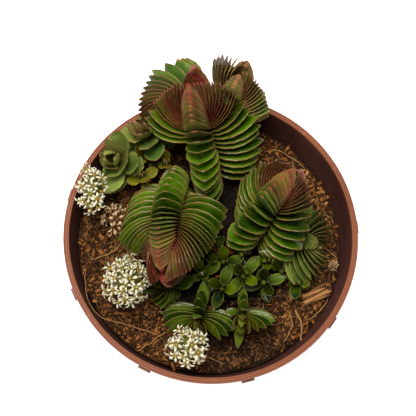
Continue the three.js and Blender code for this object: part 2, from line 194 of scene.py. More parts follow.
class Growth(Tree):
    """A geometry tree with named inputs, which makes a piece from a plain base."""

    def __init__(self, name):
        super().__init__(bpy.data.node_groups.new(name, "GeometryNodeTree"))
        self.base = self.given(Geometry="Geometry")[0]

    def given(self, **kinds):
        """New named inputs of the tree. An underscore stands for the space in a name."""
        wires = []
        for name, kind in kinds.items():
            name = name.replace("_", " ")
            self.tree.interface.new_socket(name, in_out="INPUT", socket_type="NodeSocket" + kind)
            wires.append(Wire(self, self.tree.nodes.new("NodeGroupInput").outputs[name]))
        return wires

    def named(self, name, kind="FLOAT"):
        return self.node("GeometryNodeInputNamedAttribute", {"data_type": kind}, {"Name": name})

    def tinted(self, instances, seed):
        """The instances, each with a random number from 0 to 1 for its colour."""
        settings = {"data_type": "FLOAT", "domain": "INSTANCE"}
        sockets = {"Geometry": instances, "Name": "tint", "Value": self.random(0, 1, seed)}
        return self.node("GeometryNodeStoreNamedAttribute", settings, sockets)

    def random(self, low, high, seed):
        return self.node("FunctionNodeRandomValue", None, {"Min": low, "Max": high, "Seed": seed})

    def tubes(self, sides):
        """A tube along each chain of the base, with the thickness that its points have."""
        path = self.node("GeometryNodeMeshToCurve", None, {"Mesh": self.base})
        section = self.node("GeometryNodeCurvePrimitiveCircle", None, {"Resolution": sides, "Radius": 1})
        thick = self.named("thickness")
        sockets = {"Curve": path, "Profile Curve": section, "Scale": thick, "Fill Caps": True}
        return self.node("GeometryNodeCurveToMesh", None, sockets)

    def finish(self, geometry, material):
        whole = self.node("GeometryNodeRealizeInstances", None, {"Geometry": geometry})
        shaded = self.node("GeometryNodeSetShadeSmooth", None, {"Geometry": whole, "Shade Smooth": True})
        done = self.node("GeometryNodeSetMaterial", None, {"Geometry": shaded, "Material": material})
        self.tree.interface.new_socket("Geometry", in_out="OUTPUT", socket_type="NodeSocketGeometry")
        self.node("NodeGroupOutput", None, {"Geometry": done})


def placed(name, data):
    """An object of the scene that shows the data."""
    made = bpy.data.objects.new(name, data)
    bpy.context.scene.collection.objects.link(made)
    return made


def base_object(name, vertices, edges=(), faces=(), **attributes):
    """A plain mesh object. An attribute has a number or a vector for each vertex."""
    mesh = bpy.data.meshes.new(name)
    mesh.from_pydata(vertices, edges, faces)
    for key, values in attributes.items():
        if isinstance(values[0], Vector):
            layer = mesh.attributes.new(key, "FLOAT_VECTOR", "POINT")
            layer.data.foreach_set("vector", [c for value in values for c in value])
        else:
            layer = mesh.attributes.new(key, "FLOAT", "POINT")
            layer.data.foreach_set("value", values)
    return placed(name, mesh)


def grow(name, base, growth, **inputs):
    """The piece that a geometry tree makes of a base, as a plain mesh. The base is used up."""
    modifier = base.modifiers.new("growth", "NODES")
    modifier.node_group = growth.tree
    for item in growth.tree.interface.items_tree:
        key = item.name.replace(" ", "_")
        if item.in_out == "INPUT" and key in inputs:
            modifier[item.identifier] = inputs[key]
    depsgraph = bpy.context.evaluated_depsgraph_get()
    mesh = bpy.data.meshes.new_from_object(base.evaluated_get(depsgraph), depsgraph=depsgraph)
    base.modifiers.clear()
    bpy.data.objects.remove(base)
    mesh.name = name
    return placed(name, mesh)


def rounded(corners, steps=4):
    """An outline whose corners, each an (x, y, radius), are rounded."""
    outline = []
    for k, (x, y, radius) in enumerate(corners):
        here = Vector((x, y))
        if not radius or k in (0, len(corners) - 1):
            outline.append(here)
            continue
        before = Vector(corners[k - 1][:2]) - here
        after = Vector(corners[k + 1][:2]) - here
        start = here + before.normalized() * min(radius, before.length / 2)
        end = here + after.normalized() * min(radius, after.length / 2)
        for s in range(steps + 1):
            share = s / steps
            outline.append(start.lerp(here, share).lerp(here.lerp(end, share), share))
    return outline


def turned(outline, sides):
    """The vertices and faces of an outline of (radius, height) turned round the pot's axis, in metres."""
    vertices = []
    faces = []
    rows = []
    for radius, height in outline:
        if radius < 1e-6:
            rows.append([len(vertices)] * sides)
            vertices.append((0, 0, height * MM))
            continue
        rows.append(range(len(vertices), len(vertices) + sides))
        for s in range(sides):
            angle = 2 * math.pi * s / sides
            vertices.append((radius * MM * math.cos(angle), radius * MM * math.sin(angle), height * MM))
    for low, high in zip(rows, rows[1:]):
        for s in range(sides):
            corners = (low[s], low[(s + 1) % sides], high[(s + 1) % sides], high[s])
            face = list(dict.fromkeys(corners))
            if len(face) > 2:
                faces.append(face)
    return vertices, faces


def wall_radius(height):
    """The outer radius of the wall under the collar."""
    return FOOT_RADIUS + WALL_SLOPE * height


def lip_groove(radius):
    """The corners of one fine groove that runs round the flat of the lip."""
    return [
        (radius + GROOVE, POT_HEIGHT, 0),
        (radius, POT_HEIGHT - GROOVE, 0.1),
        (radius - GROOVE, POT_HEIGHT, 0),
    ]


pot_profile = rounded(
    [
        (0, 0, 0),
        (PAD_RADIUS - 1, 0, 0.4),
        (PAD_RADIUS, FLOOR_UNDER, 0.4),
        (FOOT_RADIUS - 6, FLOOR_UNDER, 0.5),
        (FOOT_RADIUS - 5, 0, 0.5),
        (FOOT_RADIUS - 0.3, 0, 0.8),
        (STEP_RADIUS, STEP_HEIGHT, 0.4),
        (RIM_RADIUS - 1.6, STEP_HEIGHT + 0.6, 0.6),
        (RIM_RADIUS - 0.5, POT_HEIGHT - 2.6, 0.3),
        (RIM_RADIUS, POT_HEIGHT - 1.7, 0.5),
        (RIM_RADIUS - 0.1, POT_HEIGHT, 0.6),
        *lip_groove(RIM_RADIUS - 0.85),
        *lip_groove(RIM_RADIUS - 1.75),
        (LIP_INSIDE, POT_HEIGHT, 0.4),
        (wall_radius(STEP_HEIGHT) - WALL, STEP_HEIGHT, 1.5),
        (wall_radius(FLOOR_TOP) - WALL, FLOOR_TOP, 1.5),
        (0, FLOOR_TOP, 0),
    ]
)

plastic = Finish("terracotta_plastic", Specular_IOR_Level=0.45)
x, y, z = plastic.parts(plastic.place)
radius = (x * x + y * y) ** 0.5
middle = (FOOT_RADIUS - WALL / 2) * MM + WALL_SLOPE * z
inside = plastic.step(0.5 * MM, -0.5 * MM, radius - middle)
inside = inside * plastic.step((POT_HEIGHT - 0.5) * MM, (POT_HEIGHT - 2.2) * MM, z)
edge = plastic.step((RIM_RADIUS - 0.35) * MM, (RIM_RADIUS - 0.1) * MM, radius)
cloudy = plastic.speckle(0.011, 3)
fine = plastic.speckle(0.0006, 3)
lip = plastic.mix(cloudy, paint(114, 57, 25), paint(136, 72, 34))
# The inner wall is painted darker than the lip: painted shade inside the pot, under the lip.
shaded_wall = plastic.mix(cloudy, paint(62, 32, 30), paint(80, 44, 38))
dust = plastic.step(0.52, 0.7, plastic.speckle(0.0011, 4)) * inside
dust = dust * plastic.step((POT_HEIGHT - DUST_TOP) * MM, (POT_HEIGHT - DUST_FULL) * MM, z)
scuff = plastic.step(0.6, 0.72, plastic.speckle(0.0025, 5)) * (1 - inside)
colour = plastic.layers(
    lip,
    # painted shade: the outer rounding of the lip is darker, where it turns away from the light
    (0.35 * edge, paint(96, 40, 26)),
    (inside, shaded_wall),
    (dust * 0.7, paint(98, 62, 36)),
    (scuff * 0.3, paint(168, 108, 74)),
)
plastic.show(
    Base_Color=colour,
    Roughness=0.42 + 0.18 * cloudy + 0.2 * dust,
    Normal=plastic.bump(fine + 0.6 * plastic.speckle(0.004), 0.00006),
)

mould = Growth("pot_mould")
drains, drain_circle, drain_radius = mould.given(Drains="Int", Drain_circle="Float", Drain_radius="Float")
nibs, nib_size, nib_ring = mould.given(Nibs="Int", Nib_size="Vector", Nib_ring="Float")
nib_height, nib_first, skin = mould.given(Nib_height="Float", First_nib="Float", Plastic="Material")


def ring_of(growth, shape, count, ring, height, first):
    """A shape repeated round the pot's axis, each turned to face outwards."""
    circle = growth.node("GeometryNodeMeshCircle", None, {"Vertices": count, "Radius": ring})
    outwards = growth.node("GeometryNodeInputPosition")
    settings = {"axis": "X", "pivot_axis": "Z"}
    facing = growth.node("FunctionNodeAlignRotationToVector", settings, {"Vector": outwards})
    sockets = {"Points": circle, "Instance": shape, "Rotation": facing}
    placed = growth.node("GeometryNodeInstanceOnPoints", None, sockets)
    lift = growth.node("ShaderNodeCombineXYZ", None, {"Z": height})
    turn = growth.node("ShaderNodeCombineXYZ", None, {"Z": first})
    sockets = {"Geometry": placed, "Translation": lift, "Rotation": turn}
    moved = growth.node("GeometryNodeTransform", None, sockets)
    return growth.node("GeometryNodeRealizeInstances", None, {"Geometry": moved})


sockets = {"Vertices": DRILL_SIDES, "Radius": drain_radius, "Depth": 3 * FLOOR_TOP * MM}
drill = mould.node("GeometryNodeMeshCylinder", None, sockets)
cutters = ring_of(mould, drill, drains, drain_circle, FLOOR_UNDER * MM, math.pi / DRAINS)
settings = {"operation": "DIFFERENCE", "solver": "EXACT"}
holed = mould.node("GeometryNodeMeshBoolean", settings, {"Mesh 1": mould.base, "Mesh 2": cutters})
block = mould.node("GeometryNodeMeshCube", None, {"Size": nib_size})
ring_of_nibs = ring_of(mould, block, nibs, nib_ring, nib_height, nib_first)
both = mould.node("GeometryNodeJoinGeometry", None, {"Geometry": [holed, ring_of_nibs]})
mould.finish(both, skin)

vertices, faces = turned(pot_profile, POT_SIDES)
pot = grow(
    "pot_moulding",
    base_object("pot_blank", vertices, (), faces),
    mould,
    Drains=DRAINS,
    Drain_circle=DRAIN_CIRCLE * MM,
    Drain_radius=DRAIN_RADIUS * MM,
    Nibs=NIBS,
    Nib_size=tuple(side * MM for side in NIB_SIZE),
    Nib_ring=(RIM_RADIUS - 0.1) * MM,
    Nib_height=NIB_HEIGHT * MM,
    First_nib=NIB_FIRST,
    Plastic=plastic.material,
)
pot.data.set_sharp_from_angle(angle=math.radians(38))
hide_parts("pot")
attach(pot, "root")


# The soil: coir pith packed into the pot, one body that fills it. Its top is lumpy, and it banks up a
# little against the wall at the front left.
SOIL_LEVEL = 80
SOIL_GAP = 0.6  # between the soil and the wall
SOIL_EDGE = wall_radius(SOIL_LEVEL) - WALL - SOIL_GAP
SOIL_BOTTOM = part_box("soil")[0].z / MM
SOIL_SIDES = 288
SOIL_RINGS = 104
GAP_DEPTH = 1.6  # how far the soil falls away at the wall
BANK = 3.2  # how far it rises to the wall at the front left
SOIL_DARK_SPOTS = [  # where the soil is painted darker, how far it reaches, the share that is fully dark, and how dark: a dark patch at the front, and painted shade among the stems
    {"at": (14, -44), "reach": 27, "core": 0.3, "strength": 0.5},
    {"at": (3, 3), "reach": 42, "core": 0.65, "strength": 0.95},
]


def smoothstep(low, high, value):
    t = min(1, max(0, (value - low) / (high - low)))
    return t * t * (3 - 2 * t)


def soil_height(x, y):
    """The height of the soil's broad lumps, in millimetres."""
    slope = -0.022 * x - 0.014 * y
    lumps = 0.75 * math.sin(0.21 * x + 1.3) * math.cos(0.19 * y - 0.4)
    lumps += 0.5 * math.sin(0.43 * x - 0.31 * y + 0.7) + 0.35 * math.cos(0.57 * y + 0.35 * x)
    return SOIL_LEVEL - 0.4 + slope + lumps


def soil_surface(x, y):
    """The same with the crumbs that cover it, and the rise and fall at the wall."""
    rough = 1.4 * noise.fractal(Vector((x / 5.5, y / 5.5, 3)), 0.7, 2.1, 3)
    rough += 0.5 * noise.fractal(Vector((x / 1.6, y / 1.6, 9)), 0.6, 2.3, 2)
    out = math.hypot(x, y) / SOIL_EDGE
    ragged = 0.02 * noise.noise(Vector((x / 4, y / 4, 20)))
    fall = GAP_DEPTH * smoothstep(0.955 + ragged, 1.0, out)
    bank = BANK * smoothstep(0.8, 0.95, out) * (0.5 - (0.38 * x + 0.33 * y) / SOIL_EDGE)
    return soil_height(x, y) + bank + rough * smoothstep(1.02, 0.97, out) - fall


soil_outline = [(0, SOIL_BOTTOM), (wall_radius(SOIL_BOTTOM) - WALL - SOIL_GAP, SOIL_BOTTOM)]
soil_outline += [(SOIL_EDGE, SOIL_LEVEL - GAP_DEPTH - 0.5)]
soil_outline += [(SOIL_EDGE * (1 - k / SOIL_RINGS) ** 0.9, SOIL_LEVEL) for k in range(SOIL_RINGS + 1)]
vertices, faces = turned(soil_outline, SOIL_SIDES)
vertices = [
    (x, y, soil_surface(x / MM, y / MM) * MM if z > (SOIL_LEVEL - 0.2) * MM else z) for x, y, z in vertices
]


def soil_shade_and_dark_patch(finish):
    """How dark the soil is painted at a place, from 0 to 1: painted shade among the stems, and a darker patch
    at the front.
    """
    x, y, z = finish.parts(finish.place)
    blur = 0.01 * (finish.speckle(0.004) - 0.5)
    dark = []
    for spot in SOIL_DARK_SPOTS:
        spot_x, spot_y = spot["at"]
        reach = spot["reach"] * MM
        away = ((x - spot_x * MM) ** 2 + (y - spot_y * MM) ** 2) ** 0.5 + blur
        dark.append(spot["strength"] * finish.step(reach, spot["core"] * reach, away))
    return finish.math("MAXIMUM", *dark)


coir = Finish("coir", Specular_IOR_Level=0.2)
grain = coir.speckle(0.0009, 4)
patch = coir.speckle(0.009, 3)
sockets = {"Vector": coir.place, "Rotation": (0, 0, 0.6), "Scale": (0.3, 1.6, 1)}
strand = coir.speckle(0.0006, 3, coir.node("ShaderNodeMapping", None, sockets))
colour = coir.layers(
    paint(20, 10, 3),
    (coir.step(0.4, 0.75, grain), paint(96, 56, 18)),
    (coir.step(0.55, 0.8, strand) * 0.6, paint(142, 91, 38)),
    (coir.step(0.5, 0.75, patch) * 0.35, paint(44, 26, 14)),
    # painted shade among the stems, and the darker patch at the front, laid over the coir's colour
    (soil_shade_and_dark_patch(coir), paint(9, 7, 4)),
)
coir.show(Base_Color=colour, Roughness=0.85 + 0.1 * grain, Normal=coir.bump(grain + strand, 0.0005))

soil = base_object("soil_bed", vertices, (), faces)
soil.data.materials.append(coir.material)
soil.data.shade_smooth()
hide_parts("soil")
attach(soil, "root")


# Loose coir on the soil: crumbs of pith and flat splinters of husk, from under 1 to 6 mm. Two rough shapes
# are scattered over the top of the soil, each copy turned and stretched its own way.
CHIPS = [
    {"name": "pith_crumbs", "count": 4600, "small": 0.6, "large": 1.5, "flat": 0.8, "long": 1.5,
     "seed": 4, "cuts": 0},
    {"name": "husk_chips", "count": 1800, "small": 1.2, "large": 2.6, "flat": 0.55, "long": 2.3,
     "seed": 11, "cuts": 1},
]
CHIP_REACH = 0.985  # share of the soil's radius that they cover
TOP_DEPTH = 6  # how far under its level the soil still counts as its top


def mesh_of(form, name):
    mesh = bpy.data.meshes.new(name)
    form.to_mesh(mesh)
    form.free()
    return mesh


def chip_shape(name, seed, cuts):
    """A rough lump one unit across, with two dozen faces at most."""
    draw = random.Random(seed)
    form = bmesh.new()
    if cuts:
        bmesh.ops.create_cube(form, size=1)
        bmesh.ops.subdivide_edges(form, edges=form.edges[:], cuts=cuts, use_grid_fill=True)
    else:
        bmesh.ops.create_icosphere(form, subdivisions=1, radius=1)
    for vertex in form.verts:
        vertex.co = vertex.co.normalized() * 0.5 * draw.uniform(0.7, 1.2)
    return bpy.data.objects.new(name, mesh_of(form, name))


husk = Finish("coir_husk", Specular_IOR_Level=0.25)
tint = husk.attribute("tint")
grain = husk.speckle(0.0005, 3)
colour = husk.layers(
    paint(38, 20, 8),
    (husk.step(0, 0.5, tint), paint(124, 74, 28)),
    (husk.step(0.45, 0.85, tint), paint(168, 106, 46)),
    (husk.step(0.88, 1, tint) * 0.7, paint(198, 144, 78)),
    (husk.step(0.4, 0.75, grain) * 0.5, paint(58, 34, 18)),
    # painted shade among the stems, and the darker patch at the front, on the loose chips too
    (soil_shade_and_dark_patch(husk), paint(20, 15, 10)),
)
husk.show(Base_Color=colour, Roughness=0.7 + 0.2 * grain, Normal=husk.bump(grain, 0.0004))

scatter = Growth("scatter")
shape, density, reach = scatter.given(Shape="Object", Density="Float", Reach="Float")
small, large = scatter.given(Smallest="Float", Largest="Float")
flat, long = scatter.given(Flatness="Float", Longest="Float")
seed, skin = scatter.given(Seed="Int", Coir="Material")
x, y, z = scatter.parts(scatter.node("GeometryNodeInputPosition"))
sockets = {"A": z, "B": (SOIL_LEVEL - TOP_DEPTH) * MM}
is_top = scatter.node("FunctionNodeCompare", {"operation": "GREATER_THAN"}, sockets)
near = scatter.math("LESS_THAN", (x * x + y * y) ** 0.5, reach)
chosen = scatter.node("FunctionNodeBooleanMath", {"operation": "AND"}, {0: is_top, 1: near})
sockets = {"Mesh": scatter.base, "Selection": chosen, "Density": density, "Seed": seed}
points = scatter.node("GeometryNodeDistributePointsOnFaces", None, sockets)
turn = scatter.node(
    "ShaderNodeCombineXYZ",
    None,
    {
        "X": scatter.random(-0.7, 0.7, seed + 1),
        "Y": scatter.random(-0.7, 0.7, seed + 2),
        "Z": scatter.random(0, 2 * math.pi, seed + 3),
    },
)
turn = scatter.node("FunctionNodeEulerToRotation", None, {0: turn})
size = small + (large - small) * scatter.random(0, 1, seed + 4) ** 2
stretch = scatter.node(
    "ShaderNodeCombineXYZ",
    None,
    {
        "X": size * scatter.random(0.9, long, seed + 5),
        "Y": size * scatter.random(0.45, 0.95, seed + 6),
        "Z": size * flat * scatter.random(0.6, 1.1, seed + 7),
    },
)
lump = scatter.node("GeometryNodeObjectInfo", None, {"Object": shape}).other("Geometry")
sockets = {"Points": points, "Instance": lump, "Rotation": turn, "Scale": stretch}
lumps = scatter.node("GeometryNodeInstanceOnPoints", None, sockets)
scatter.finish(scatter.tinted(lumps, seed + 8), skin)

soil_area = math.pi * (SOIL_EDGE * CHIP_REACH * MM) ** 2
for chip in CHIPS:
    lump = chip_shape(chip["name"] + "_shape", chip["seed"], chip["cuts"])
    piece = grow(
        chip["name"],
        placed(chip["name"] + "_bed", soil.data.copy()),
        scatter,
        Shape=lump,
        Density=chip["count"] / soil_area,
        Smallest=chip["small"] * MM,
        Largest=chip["large"] * MM,
        Flatness=chip["flat"],
        Longest=chip["long"],
        Reach=SOIL_EDGE * CHIP_REACH * MM,
        Seed=chip["seed"],
        Coir=husk.material,
    )
    bpy.data.objects.remove(lump)
    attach(piece, "root")


# Fibres on the soil: loose coir strands and a few long pale roots, each a thin tube along a path that
# follows the soil. Each path is a chain of points with its own thickness.
FIBRES = 900
FIBRE_SEED = 21
FIBRE_RADIUS = (0.06, 0.17)
FIBRE_LENGTH = (2.5, 10.0)
FIBRE_POINTS = 6
ROOT_ABOVE = 1.5  # the height of a root's middle over the soil
ROOT_STEPS = 7  # points from one corner of a root to the next
ROOTS = [  # corners of their paths on the soil, and their radius
    {"path": [(-51.5, -13), (-50.5, -24), (-45, -32), (-33, -36), (-21.5, -39.5)], "radius": 0.18},
    {"path": [(-29.5, -46), (-24.6, -43), (-18.5, -38)], "radius": 0.22},
    {"path": [(-45, 4), (-38, 8), (-31, 13)], "radius": 0.24},
    {"path": [(-49, -9), (-41, -5), (-34, 1)], "radius": 0.26},
    {"path": [(35, -28.5), (37.5, -35), (37, -42.5)], "radius": 0.34},
    {"path": [(33, -30), (33.5, -36), (30, -42)], "radius": 0.24},
    {"path": [(41, -33), (47, -27), (51, -20)], "radius": 0.2},
    {"path": [(22, -26), (21.5, -33), (24, -40)], "radius": 0.24},
    {"path": [(43, 1), (50, -3), (53.5, -9), (48, -13)], "radius": 0.17},
    {"path": [(42, 9), (49, 12), (52.5, 9)], "radius": 0.15},
    {"path": [(44, -6), (50, -8), (52, -16)], "radius": 0.15},
    {"path": [(27, 41), (34, 38), (41, 33)], "radius": 0.2},
    {"path": [(-13, -50), (-3, -48), (5, -51)], "radius": 0.2},
]

strands = Growth("strands")
sides, skin = strands.given(Sides="Int", Finish="Material")
strands.finish(strands.tubes(sides), skin)


def chains(name, paths):
    """A base of open chains. Each path is a list of (place, radius, tint), in millimetres."""
    vertices = []
    edges = []
    thickness = []
    tints = []
    for path in paths:
        first = len(vertices)
        for place, radius, tint in path:
            vertices.append(Vector(place) * MM)
            thickness.append(radius * MM)
            tints.append(tint)
        edges += [(k, k + 1) for k in range(first, len(vertices) - 1)]
    return base_object(name, vertices, edges, thickness=thickness, tint=tints)


def smooth_path(corners, steps):
    """Points on a Catmull-Rom curve through the corners."""
    known = [Vector(c) for c in corners]
    ends = [2 * known[0] - known[1]] + known + [2 * known[-1] - known[-2]]
    points = []
    for k in range(1, len(ends) - 2):
        a, b, c, d = ends[k - 1 : k + 3]
        for s in range(steps):
            t = s / steps
            curve = 2 * b + (c - a) * t + (2 * a - 5 * b + 4 * c - d) * t**2 + (3 * b - a - 3 * c + d) * t**3
            points.append(curve / 2)
    return points + [known[-1]]


def on_soil(x, y, above):
    return Vector((x, y, soil_surface(x, y) + above))


def loose_fibre(draw):
    """A bent strand that starts at a random place on the soil."""
    far = SOIL_EDGE * 0.96 * math.sqrt(draw.random())
    angle = draw.uniform(0, 2 * math.pi)
    place = Vector((far * math.cos(angle), far * math.sin(angle)))
    heading = draw.uniform(0, 2 * math.pi)
    bend = draw.uniform(-0.5, 0.5)
    step = draw.uniform(*FIBRE_LENGTH) / FIBRE_POINTS
    radius = draw.uniform(*FIBRE_RADIUS)
    tint = draw.random()
    arch = draw.uniform(0.2, 2.2)
    path = []
    for k in range(FIBRE_POINTS):
        share = k / (FIBRE_POINTS - 1)
        if place.length > SOIL_EDGE - 0.5:
            break
        height = 0.4 + arch * math.sin(math.pi * share)
        path.append((on_soil(place.x, place.y, height), radius * (1 - 0.5 * share), tint))
        heading += bend + draw.uniform(-0.25, 0.25)
        place = place + Vector((math.cos(heading), math.sin(heading))) * step
    return path


root_finish = Finish("fibre", Specular_IOR_Level=0.3)
tint = root_finish.attribute("tint")
grain = root_finish.speckle(0.0008, 3)
colour = root_finish.layers(
    paint(90, 54, 22),
    (tint, paint(168, 124, 70)),
    (root_finish.step(0.45, 0.75, grain) * 0.5, paint(92, 60, 34)),
    # painted shade among the stems, and the darker patch at the front, on the fibres and roots
    (soil_shade_and_dark_patch(root_finish) * 0.85, paint(16, 11, 6)),
)
root_finish.show(Base_Color=colour, Roughness=0.65 + 0.2 * grain)

draw = random.Random(FIBRE_SEED)
paths = [loose_fibre(draw) for _ in range(FIBRES)]
paths = [path for path in paths if len(path) > 3]
fibres = grow("coir_fibres", chains("fibre_paths", paths), strands, Sides=4, Finish=root_finish.material)
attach(fibres, "root")

paths = []
for root in ROOTS:
    points = smooth_path(root["path"], ROOT_STEPS)
    wander = [0.5 * noise.noise(Vector((p.x / 3, p.y / 3, 40))) for p in points]
    spots = [on_soil(p.x + w, p.y - w, ROOT_ABOVE) for p, w in zip(points, wander)]
    paths.append([(spot, root["radius"], 0.95) for spot in spots])
roots = grow("pale_roots", chains("root_paths", paths), strands, Sides=8, Finish=root_finish.material)
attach(roots, "root")


# The leafy stems: each bends up out of the soil, with thick pointed leaves in opposite pairs, every pair a
# quarter turn on from the one below. They grow by the rule that shaped the frame's solids, each leaf as long
# as it is there, with thinner ones between where they crowd. One closed blade is repeated and bent to shape.
STEM_FOOT = SOIL_LEVEL - 10
LEAF_WIDTH = 13.5
LEAF_THICKNESS = 1.9
WIDEST_AT = 0.45  # share of the leaf's length
BASE_SHARE = 0.55  # the base's width, as a share of the widest
TIP_POWER = 2.6
CUP = 0.12  # how far the edges rise, as a share of half the width
QUARTER = 0.93  # near the stem, a leaf's half width as a share of its reach
YOUNG_LEAN = 38  # degrees from the stem to the youngest leaves, which close over its tip as a hood
OLD_CURL = 20  # degrees that a leaf bends back towards the tip along its length
YOUNG_CURL = 75
FITS = [1, 0.9, 0.8, 0.7, 0.6, 0.5, 0.4]  # shares of its length that a leaf may have kept
SAME_PLACE = 0.05  # how near two points are that count as one
CORE_RADIUS = 3.2  # of a full-sized stem, where the leaves spring from it
STEM_SHARE = 0.72  # the bare stem's radius, as a share of that
STEM_STEPS = 14
STEM_SIDES = 12
LEAFY_HEAD = {
    "size": 1, "plump": 1, "fat": 1, "bow": 0.45, "spread": 105, "shrink": 0.15, "ranks": (1, 1, 1, 1),
    "lost": (0, 0, 0, 0), "via": None,
}
PLUMP_SHOOT = {
    **LEAFY_HEAD, "pairs": 4, "length": 10.5, "bare": 0.55, "size": 0.78, "plump": 0.52, "fat": 2,
    "spread": 92, "shrink": 0.5,
}
HEADS = [  # foot, crown and via are places of the stem, and turn is in degrees
    {"name": "head_tall", "foot": (1, 22), "crown": (-5, 44, 107), "via": (-2, 37, 97), "pairs": 32,
     "length": 24.5, "turn": 3, "bare": 0.3, "spread": 118, "ranks": (1, 1, 1.1, 1),
     "lost": (0, 0, 0.2, 0.45)},
    {"name": "head_left", "foot": (-3, 48), "crown": (-13.5, 51.5, 102.5), "via": (-1, 58, 105), "pairs": 23,
     "length": 21, "turn": 8, "bare": 0.4, "ranks": (0.7, 0.65, 1, 0.9)},
    {"name": "head_front", "foot": (-13, 27), "crown": (-17.5, -6.5, 105.5), "via": (-14.5, 15, 99),
     "pairs": 33, "length": 22.5, "turn": 2, "bare": 0.3, "ranks": (1, 1, 0.75, 1)},
    {"name": "head_right", "foot": (19, 1), "crown": (26, 11.5, 103.5), "via": (20.5, 2, 97), "pairs": 26,
     "length": 20, "turn": 29, "bare": 0.36},
    {"name": "head_back", "foot": (3.5, 46), "crown": (8.5, 56.5, 104), "pairs": 24, "length": 18,
     "turn": -28, "bare": 0.42, "size": 0.95, "ranks": (1, 1, 1, 1.3), "lost": (0.4, 0, 0, 0)},
    {"name": "head_small", "foot": (-20, 40), "crown": (-27.5, 42.5, 98), "pairs": 11,
     "length": 14, "turn": 20, "bare": 0.35, "size": 0.8, "ranks": (1, 0.7, 0.9, 1)},
    {"name": "head_flowering", "foot": (-1.5, -23.5), "crown": (-5.5, -36.5, 94), "pairs": 20,
     "length": 16, "turn": -12, "bare": 0.34, "size": 0.76, "plump": 0.52, "fat": 1.2},
    {"name": "head_low", "foot": (13, -26), "crown": (12, -34, 92), "pairs": 15, "length": 13.5,
     "turn": -8, "bare": 0.36, "size": 0.72, "plump": 0.46, "fat": 1.6, "ranks": (1, 1.1, 0.8, 0.9)},
    {"name": "head_side", "foot": (31, -1), "crown": (39.5, -3, 92), "via": (31, -1.5, 94), "pairs": 15,
     "length": 16, "turn": 0, "bare": 0.3, "size": 0.8, "plump": 0.9, "shrink": 0.5,
     "ranks": (1.15, 0.8, 1.05, 0.5)},
    {"name": "head_grey", "foot": (-35, 34), "crown": (-39.5, 31, 96), "pairs": 11, "length": 15,
     "turn": -18, "bare": 0.34, "spread": 98, "size": 0.85, "ranks": (1.05, 0.8, 1.15, 0.6)},
    {"name": "head_under", "foot": (-10, -17.5), "crown": (-20.5, -20, 91), "pairs": 12,
     "length": 12, "turn": 5, "bare": 0.32, "size": 0.65, "plump": 0.8},
    {"name": "shoot_a", "foot": (-3, -14.5), "crown": (-3.5, -15.5, 91), "turn": 30},
    {"name": "shoot_b", "foot": (4.5, -19.5), "crown": (4.5, -21, 91), "turn": 70},
    {"name": "shoot_c", "foot": (5.5, -9.5), "crown": (5.5, -11, 93), "turn": 10},
    {"name": "shoot_d", "foot": (13.5, -14.5), "crown": (13.5, -16, 91), "turn": 50},
    {"name": "shoot_e", "foot": (21.5, -17), "crown": (22, -18.5, 89), "turn": 15},
    {"name": "shoot_f", "foot": (28.5, -12), "crown": (29, -13.5, 90), "turn": 55},
    {"name": "shoot_g", "foot": (-28.5, 25.5), "crown": (-28.5, 25.5, 92), "turn": 25, "length": 7.5},
    {"name": "shoot_h", "foot": (-19, 30.5), "crown": (-18.5, 30.5, 94), "turn": 10, "length": 8},
    {"name": "shoot_i", "foot": (13, -6.5), "crown": (13, -7.5, 92), "turn": 35},
    {"name": "shoot_j", "foot": (35, -17), "crown": (35.5, -18, 87.5), "turn": 80, "length": 8},
    {"name": "shoot_k", "foot": (-27, 34), "crown": (-27.5, 34, 94), "turn": 60, "length": 7.5},
    {"name": "shoot_l", "foot": (-2, -5.5), "crown": (-2, -6.5, 90), "turn": 40},
    {"name": "shoot_m", "foot": (22.5, -9), "crown": (22.5, -10, 90), "turn": 5},
]
HEADS = [
    {**(PLUMP_SHOOT if head["name"].startswith("shoot") else LEAFY_HEAD), **head, "seed": seed}
    for seed, head in enumerate(HEADS)
]


def jitter(piece, purpose):
    """A repeatable number from -1 to 1 for a piece and a purpose."""
    wave = math.sin(piece * 12.9898 + purpose * 78.233) * 43758.5453
    return 2 * (wave - math.floor(wave)) - 1


class Arc:
    """A quadratic curve from a start to an end, bent towards a third place."""

    def __init__(self, start, bend, end):
        self.start, self.bend, self.end = Vector(start), Vector(bend), Vector(end)

    def point(self, share):
        return self.start.lerp(self.bend, share).lerp(self.bend.lerp(self.end, share), share)

    def directions(self, share):
        """Along the curve, and out of it to the front."""
        along = (self.bend - self.start).lerp(self.end - self.bend, share).normalized()
        front = Vector((0, -1, 0))
        return along, (front - along * front.dot(along)).normalized()


def stem_arc(head):
    """The curve of a stem from its foot to its crown, which a third place may bend."""
    foot_x, foot_y = head["foot"]
    x, y, z = head["crown"]
    bow = head["bow"]
    middle = SOIL_LEVEL + 0.5 * (z - SOIL_LEVEL)
    via = head["via"] or (foot_x + bow * (x - foot_x), foot_y + bow * (y - foot_y), middle)
    return Arc((foot_x, foot_y, STEM_FOOT), via, head["crown"])


def core_radius(head, share):
    """The stem's radius among its leaves, at a share of its length."""
    return CORE_RADIUS * head["size"] * (1 - 0.6 * smoothstep(0.75, 1, share))


class Numbers:
    """Plain numbers with the calls of a tree, so that one rule gives both a leaf's points and its nodes."""

    CALLS = {
        "SINE": math.sin,
        "COSINE": math.cos,
        "MAXIMUM": max,
        "MINIMUM": min,
        "GREATER_THAN": float.__gt__,
    }

    def math(self, operation, *values):
        return self.CALLS[operation](*map(float, values))

    def step(self, low, high, value):
        return smoothstep(low, high, value)


